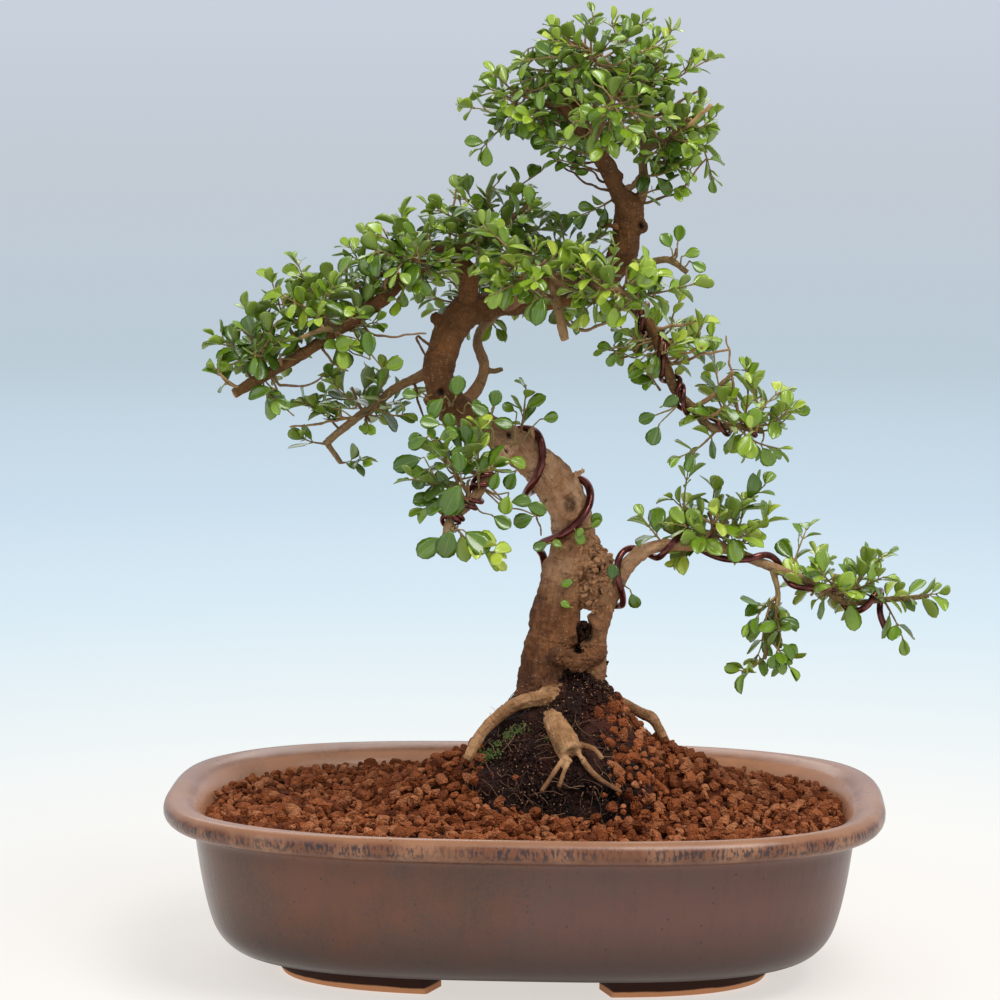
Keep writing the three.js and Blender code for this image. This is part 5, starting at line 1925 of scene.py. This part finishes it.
# Shoots, bare twigs and single leaves that the tree's outline depends on.
handShoots = {
    "left_tip": [
        ([(270, 372, -22), (246, 352, -22), (222, 344, -20)], 10, 0.3, 6),
        ([(268, 370, -22), (252, 330, -18), (248, 312, -16)], 9.5, 0.4, 6),
        ([(240, 388, -26), (228, 384, -28), (217, 370, -28)], 9, 0.35, 6),
        ([(262, 378, -24), (266, 392, -30), (272, 398, -32)], 10, 0.34, 5),
    ],
    "left_middle": [
        ([(302, 354, -18), (284, 318, -14), (272, 282, -10)], 9.5, 0.42, 6),
        ([(334, 332, -16), (310, 290, -8), (296, 260, -2)], 9.5, 0.45, 6),
        ([(334, 333, -16), (342, 345, -26), (350, 346, -30)], 9.5, 0.55, 5),
    ],
    "left_inner": [
        ([(384, 296, -12), (366, 262, -6), (352, 248, -2)], 9.5, 0.5, 6),
        ([(404, 279, -8), (398, 240, 0), (402, 220, 4)], 9.5, 0.52, 6),
        ([(420, 266, -4), (428, 232, 2), (430, 208, 6)], 9.2, 0.55, 6),
    ],
    "left_top": [
        ([(462, 252, 4), (462, 214, 6), (458, 192, 8)], 9, 0.55, 6),
        ([(500, 222, 6), (516, 190, 6), (540, 172, 6)], 9, 0.52, 6),
    ],
    "left_low": [
        ([(340, 430, 20), (322, 412, 14), (304, 403, 10)], 9.5, 0.34, 6),
        ([(325, 444, 22), (312, 442, 20), (302, 438, 18)], 9, 0.36, 5),
        ([(340, 463, 24), (352, 462, 20), (362, 460, 16)], 9.5, 0.4, 5),
        ([(355, 419, 18), (372, 405, 4), (390, 368, -4)], 9.5, 0.4, 7),
    ],
    "crown_top": [
        ([(640, 90, 4), (662, 56, 0), (671, 30, -2)], 8.4, 0.9, 6),
        ([(618, 84, -10), (620, 50, -4), (612, 24, 0)], 8.4, 0.75, 6),
        ([(590, 90, 4), (572, 50, 4), (560, 30, 6)], 8.4, 0.62, 6),
        ([(650, 96, 4), (690, 70, 2), (708, 60, 2)], 8.4, 0.66, 6),
    ],
    "crown_left": [
        ([(548, 104, 4), (500, 92, 4), (468, 100, 4)], 8.6, 0.5, 6),
        ([(540, 110, 2), (500, 130, 0), (482, 148, -2)], 8.6, 0.45, 6),
        ([(602, 172, 0), (580, 165, -6), (560, 160, -10)], 8.2, 0.3, 5),
        ([(612, 200, 2), (598, 208, -6), (584, 214, -8)], 8.6, 0.24, 5),
        ([(598, 158, 0), (572, 150, -8), (548, 140, -12)], 8.2, 0.26, 5),
    ],
    "crown_right": [
        ([(668, 138, -4), (700, 128, -6), (716, 116, -8)], 8.6, 0.5, 6),
        ([(690, 118, -8), (704, 150, -6), (712, 176, -6)], 8.6, 0.48, 6),
        ([(634, 200, 2), (655, 190, -4), (674, 190, -8)], 8.6, 0.4, 5),
        ([(644, 160, 3), (668, 164, -4), (690, 170, -8)], 8.4, 0.45, 5),
        ([(642, 176, 2), (662, 174, -8), (682, 160, -12)], 8.4, 0.4, 5),
    ],
    "front_left": [
        ([(522, 268, -34), (500, 240, -38), (484, 228, -40)], 9.5, 0.55, 6),
    ],
    "front_right": [
        ([(640, 296, -50), (672, 290, -52), (694, 284, -52)], 9.8, 0.5, 6),
        ([(640, 296, -50), (648, 284, -54), (646, 280, -56)], 12, 0.72, 8),
    ],
    "mid_inner": [
        ([(660, 390, -7), (652, 378, -16), (646, 368, -20)], 9.5, 0.4, 5),
        ([(640, 330, -2), (622, 350, -8), (606, 350, -12)], 8.5, 0.42, 5),
    ],
    "mid_tip": [
        ([(741, 426, -7), (770, 424, -10), (788, 412, -12)], 9.5, 0.5, 6),
        ([(720, 427, -7), (698, 448, -12), (682, 456, -14)], 9.5, 0.36, 6),
        ([(735, 426, -7), (756, 442, -12), (776, 448, -16)], 9.5, 0.45, 6),
        ([(730, 420, -7), (718, 382, -6), (712, 340, -4)], 9.5, 0.42, 7),
        ([(745, 420, -6), (748, 392, -4), (746, 370, -2)], 9.5, 0.45, 6),
    ],
    "low_inner": [
        ([(692, 546, -9), (684, 505, -6), (688, 470, -4)], 10, 0.4, 6.5),
        ([(664, 545, -10), (652, 530, -14), (644, 520, -16)], 10, 0.35, 6),
        ([(722, 548, -8), (742, 506, -4), (764, 486, 0)], 10, 0.38, 6.5),
    ],
    "low_outer": [
        ([(884, 600, -5), (912, 596, -8), (936, 594, -10)], 10, 0.45, 5.5),
        ([(846, 602, -5), (868, 570, -8), (884, 556, -10)], 10, 0.4, 6),
        ([(884, 600, -5), (896, 622, -10), (902, 636, -12)], 10, 0.36, 6),
        ([(790, 574, -7), (800, 545, -4), (806, 530, 0)], 10, 0.4, 6),
    ],
    "low_hanging": [
        ([(764, 658, -18), (752, 668, -20), (743, 671, -22)], 10, 0.4, 5),
        ([(770, 640, -17), (782, 654, -20), (788, 664, -22)], 10, 0.35, 5),
    ],
    "near_left": [
        ([(521, 432, -6), (524, 412, -16), (526, 388, -22)], 9.5, 0.42, 5),
        ([(450, 521, -43), (470, 542, -50), (494, 554, -54)], 10.5, 0.85, 7),
        ([(479, 491, -33), (478, 455, -42), (480, 430, -46)], 10, 0.72, 7),
    ],
}
handTwigs = {
    "left_tip": [
        ([(273, 381, -24), (283, 405, -28), (295, 416, -30)], 0.6, 0.35, 0.4),
        ([(240, 388, -26), (226, 380, -28), (217, 369, -28)], 0.8, 0.6, 0.8),
        ([(277, 383, -22), (315, 383, -20), (325, 373, -20)], 0.7, 0.4, 0.3),
    ],
    "left_middle": [
        ([(300, 352, -18), (286, 316, -16), (278, 286, -14)], 0.7, 0.4, 0.7),
        ([(373, 334, -20), (400, 336, -22), (427, 333, -24)], 0.7, 0.4, 0.4),
        ([(322, 348, -18), (335, 364, -24), (348, 370, -28)], 0.7, 0.4, 0.4),
    ],
    "left_inner": [([(388, 300, -12), (392, 258, -8), (384, 229, -6)], 0.7, 0.4, 0.8)],
    "left_top": [([(448, 250, 2), (452, 216, 4), (457, 186, 6)], 0.8, 0.4, 0.6)],
    "left_low": [
        ([(350, 418, 18), (318, 424, 16), (289, 427, 12)], 0.8, 0.45, 0.8),
        ([(415, 335, -14), (420, 346, -10), (428, 360, -6)], 0.8, 0.5, 0.1),
        ([(418, 400, 2), (421, 412, -4), (426, 425, -8)], 0.7, 0.45, 0.1),
    ],
    "crown_right": [
        ([(640, 203, 2), (669, 196, -4), (687, 183, -8), (706, 158, -10)], 0.7, 0.35, 0.3),
        ([(664, 146, 0), (688, 126, -12), (711, 104, -16)], 1.1, 0.9, 1.0),
        ([(646, 122, 4), (672, 106, 0), (697, 92, -2)], 0.9, 0.5, 0.5),
        ([(623, 191, 2), (634, 184, -2), (643, 173, 2)], 1.6, 1.4, 0.3),
    ],
    "crown_left": [
        ([(614, 192, 2), (588, 184, 2), (573, 173, 2), (550, 156, 2)], 0.7, 0.35, 0.1),
        ([(604, 184, 2), (590, 170, -4), (566, 166, -6), (548, 150, -8)], 0.6, 0.35, 0.1),
        ([(590, 163, 2), (582, 160, 0), (575, 155, -2)], 0.8, 0.5, 0.3),
    ],
    "front_right": [
        ([(558, 318, -38), (585, 330, -40), (606, 322, -42), (630, 300, -44)], 0.9, 0.6, 0.5),
        ([(669, 260, -8), (674, 254, -12), (676, 248, -14)], 0.7, 0.5, 0.5),
    ],
    "mid_inner": [
        ([(652, 330, -5), (676, 327, -12), (697, 321, -16)], 0.9, 0.5, 0.7),
        ([(664, 360, -8), (684, 354, -16), (702, 347, -20)], 0.8, 0.45, 0.7),
        ([(668, 366, -9), (700, 356, -18), (731, 350, -24)], 0.9, 0.5, 0.6),
        ([(648, 332, -5), (636, 352, -10), (621, 358, -14)], 0.7, 0.45, 0.5),
    ],
    "mid_tip": [
        ([(694, 409, -9), (712, 396, -14), (733, 371, -18)], 1.3, 0.8, 0.5),
        ([(741, 424, -7), (734, 392, -12), (731, 371, -14), (726, 336, -16)], 0.8, 0.4, 0.6),
    ],
    "near_left": [([(537, 512, -4), (540, 524, -8), (541, 536, -10)], 0.6, 0.4, 0.2)],
}
handLeaves = {  # across, down, depth, length, heading in degrees from rightward, tone
    "near_left": [
        (410, 462, -46, 13, 200, 0.12), (432, 545, -52, 13, 215, 0.3), (475, 540, -50, 13.5, 320, 0.34),
        (453, 497, -54, 15, 240, 0.3), (455, 391, -16, 6, 100, 0.5), (437, 407, -20, 6.5, 150, 0.4),
        (413, 395, -22, 7, 170, 0.4), (420, 440, -34, 7.5, 170, 0.35), (433, 436, -36, 6, 120, 0.45),
        (467, 438, -44, 9, 100, 0.3), (495, 402, -20, 6, 80, 0.45), (478, 408, -24, 5.5, 110, 0.45),
        (458, 468, -50, 8, 60, 0.4), (428, 500, -50, 11, 190, 0.22), (548, 418, -16, 7, 10, 0.5),
        (511, 409, -18, 6, 150, 0.45), (500, 520, -40, 9, 330, 0.4), (410, 391, -30, 9, 190, 0.5),
        (438, 405, -34, 10, 230, 0.34), (457, 389, -30, 9, 80, 0.36), (477, 408, -34, 9, 330, 0.32),
        (495, 401, -30, 8, 70, 0.36), (433, 423, -36, 9, 170, 0.42), (420, 441, -40, 9, 210, 0.3),
        (446, 437, -42, 8.5, 20, 0.5), (421, 478, -44, 8, 250, 0.3), (441, 476, -46, 8.5, 300, 0.26),
        (459, 465, -52, 10, 100, 0.34), (483, 467, -42, 8.5, 60, 0.4), (496, 478, -38, 8, 250, 0.5),
        (512, 478, -34, 8, 240, 0.28), (438, 506, -52, 9, 200, 0.42), (507, 502, -36, 8.5, 260, 0.72),
        (518, 501, -30, 8.5, 10, 0.34), (534, 507, -24, 9, 340, 0.4), (526, 519, -26, 9, 200, 0.3),
        (500, 422, -30, 9, 350, 0.4), (515, 461, -26, 8, 340, 0.7), (470, 437, -40, 10, 20, 0.52),
        (485, 425, -36, 8, 150, 0.6), (543, 545, -8, 7, 200, 0.3), (448, 541, -60, 12.5, 250, 0.24),
        (595, 522, -2, 7, 60, 0.4), (578, 535, -4, 7, 300, 0.5), (612, 575, -14, 7, 80, 0.14),
        (633, 598, -16, 7, 290, 0.24), (450, 425, -30, 8, 100, 0.4), (463, 452, -46, 8, 200, 0.36),
    ],
    "left_low": [
        (348, 343, -28, 9, 200, 0.62), (369, 347, -26, 11, 95, 0.4), (345, 356, -24, 8, 300, 0.16),
        (392, 365, -18, 9, 20, 0.6), (357, 432, 4, 9, 210, 0.66), (263, 391, -32, 11, 190, 0.3),
    ],
    "front_right": [
        (645, 282, -58, 12.5, 60, 0.7), (607, 347, -20, 6, 170, 0.45), (617, 340, -22, 6, 60, 0.4),
        (613, 358, -20, 6, 240, 0.5), (689, 254, -14, 7, 20, 0.5), (696, 265, -14, 7, 330, 0.45),
        (679, 236, -14, 8, 80, 0.5), (668, 243, -14, 7, 120, 0.45),
    ],
    "mid_tip": [
        (650, 417, -18, 8, 200, 0.2), (668, 403, -20, 8, 30, 0.22), (656, 433, -18, 9, 250, 0.24),
        (800, 411, -10, 7, 10, 0.5), (750, 446, -18, 9, 280, 0.8), (766, 454, -16, 9, 300, 0.5),
    ],
    "low_inner": [
        (570, 582, -6, 5.5, 200, 0.5), (568, 606, -6, 5, 160, 0.5), (560, 545, -5, 5, 150, 0.55),
        (593, 525, -4, 5.5, 30, 0.5), (578, 535, -5, 4.5, 60, 0.55),
    ],
}

print("foliage")
leafCount = 0
for index, (name, pad) in enumerate(pads.items()):
    foliage = fillPad(name, pad, 100 + index)
    leafCount += len(foliage.leaves)
    title = name.title().replace("_", "")
    for piece, slot in zip(foliage.pieces(title[0].lower() + title[1:]), ("leaf", "bark")):
        finishPiece(piece, slot, f"leaves_{name}")
print("leaves", leafCount)


# The floor, the lights and the camera, in metres. The floor runs up into a round wall at its edge.
stage = {
    "colours": [
        (0.0, (247, 241, 235)), (0.12, (247, 241, 235)), (0.36, (243, 242, 238)), (0.66, (229, 237, 239)),
        (1.05, (213, 230, 239)), (1.6, (201, 219, 232)), (2.44, (195, 212, 223)), (3.2, (191, 206, 216)),
    ],
    "wall": [(0.0, (191, 205, 215)), (0.2, (199, 206, 214)), (0.45, (208, 214, 224)), (1.6, (218, 223, 231))],
    "colourReach": 3.3,
    "wallReach": 1.7,
    "around": 128,
    "floor": (0.3, 0.8, 1.4, 2.0, 2.6),
    "bend": (2.9, 0.3, 10),     # where the floor starts to rise, its radius and steps
    "wallHeights": (1.2, 2.4, 4.2),
    "wallBlend": (2.9, 3.19),
    "lit": 0.29,       # share of the backdrop's colour that the lamps light
    "glow": 0.7,       # share that it gives by itself
}


def makeStage():
    around = stage["around"]
    start, bend, steps = stage["bend"]
    profile = [(radius, 0.0) for radius in stage["floor"]]
    for t in np.linspace(0, math.pi / 2, steps):
        profile.append((start + bend * math.sin(t), bend - bend * math.cos(t)))
    profile += [(start + bend, height) for height in stage["wallHeights"]]
    ring = np.arange(around)
    angles = ring / around * 2 * math.pi
    rings = np.array([
        np.stack((radius * np.cos(angles), radius * np.sin(angles), np.full(around, height)), -1)
        for radius, height in profile
    ])
    points = np.vstack((rings.reshape(-1, 3), (0, 0, 0)))
    middle = np.stack((np.full(around, len(points) - 1), ring, (ring + 1) % around), -1)
    faces = ringFaces(len(rings), around, closed=False)
    material, tree, shader, place = newMaterial("backdrop")

    def coloured(value, entries, reach):
        stops = [(where / reach, rgb(*colour)) for where, colour in entries]
        return ramp(tree, maths(tree, "DIVIDE", value, reach), stops)

    flat = stretched(tree, place, 1, 1, 0)
    radius = put(tree, "ShaderNodeVectorMath", {0: flat}, operation="LENGTH").outputs["Value"]
    ground = coloured(radius, stage["colours"], stage["colourReach"])
    wall = coloured(separate(tree, place)[2], stage["wall"], stage["wallReach"])
    colour = blend(tree, between(tree, radius, *stage["wallBlend"]), ground, wall)
    lit = blend(tree, stage["lit"], (0, 0, 0, 1), colour)
    setShader(tree, shader, Base_Color=lit, Roughness=1.0, Specular_IOR_Level=0.0)
    setShader(tree, shader, Emission_Color=colour, Emission_Strength=stage["glow"])
    material.cycles.emission_sampling = "NONE"
    newObject("backdrop", points / mm, np.vstack((middle, faces[:, ::-1])), material)


lights = {
    "key": dict(place=(0.9, -1.0, 2.6), size=1.5, power=66),
    "fill": dict(place=(-2.2, -1.8, 1.6), size=2.0, power=14),
    "back": dict(place=(-0.4, 2.0, 2.2), size=2.0, power=22),
}
lightsAim = (0, 0, 0.2)
sky = {"colour": (1, 0.98, 0.95, 1), "strength": 0.34}


def addLight(name, place, size, power):
    data = bpy.data.lights.new(name, "AREA")
    data.shape = "SQUARE"
    data.size = size
    data.energy = power
    lamp = bpy.data.objects.new(name, data)
    lamp.location = place
    lamp.rotation_euler = (Vector(lightsAim) - Vector(place)).to_track_quat("-Z", "Y").to_euler()
    bpy.context.scene.collection.objects.link(lamp)


print("stage")
makeStage()
for name, light in lights.items():
    addLight(name, **light)
world = bpy.data.worlds.new("studio")
world.use_nodes = True
background = world.node_tree.nodes["Background"]
background.inputs["Color"].default_value = sky["colour"]
background.inputs["Strength"].default_value = sky["strength"]
bpy.context.scene.world = world
bpy.context.scene.view_settings.view_transform = "Standard"

camera = bpy.data.cameras.new("camera")
camera.lens = 36 * view["scale"] / 1000
camera.clip_end = 50
cameraObject = bpy.data.objects.new("camera", camera)
cameraX, cameraY = turned(-view["aside"], -view["distance"], view["turn"])
turn = Matrix.Rotation(math.radians(view["turn"]), 4, "Z")
turn = turn @ Matrix.Rotation(math.radians(90 - view["pitch"]), 4, "X")
turn = turn @ Matrix.Rotation(math.radians(view["roll"]), 4, "Z")
turn.translation = Vector((cameraX + potX, cameraY, potTop + view["aboveRim"])) * mm
cameraObject.matrix_world = turn
bpy.context.scene.collection.objects.link(cameraObject)
bpy.context.scene.camera = cameraObject

triangles = sum(len(p.vertices) - 2 for o in bpy.data.objects if o.type == "MESH" for p in o.data.polygons)
print("triangles", triangles)
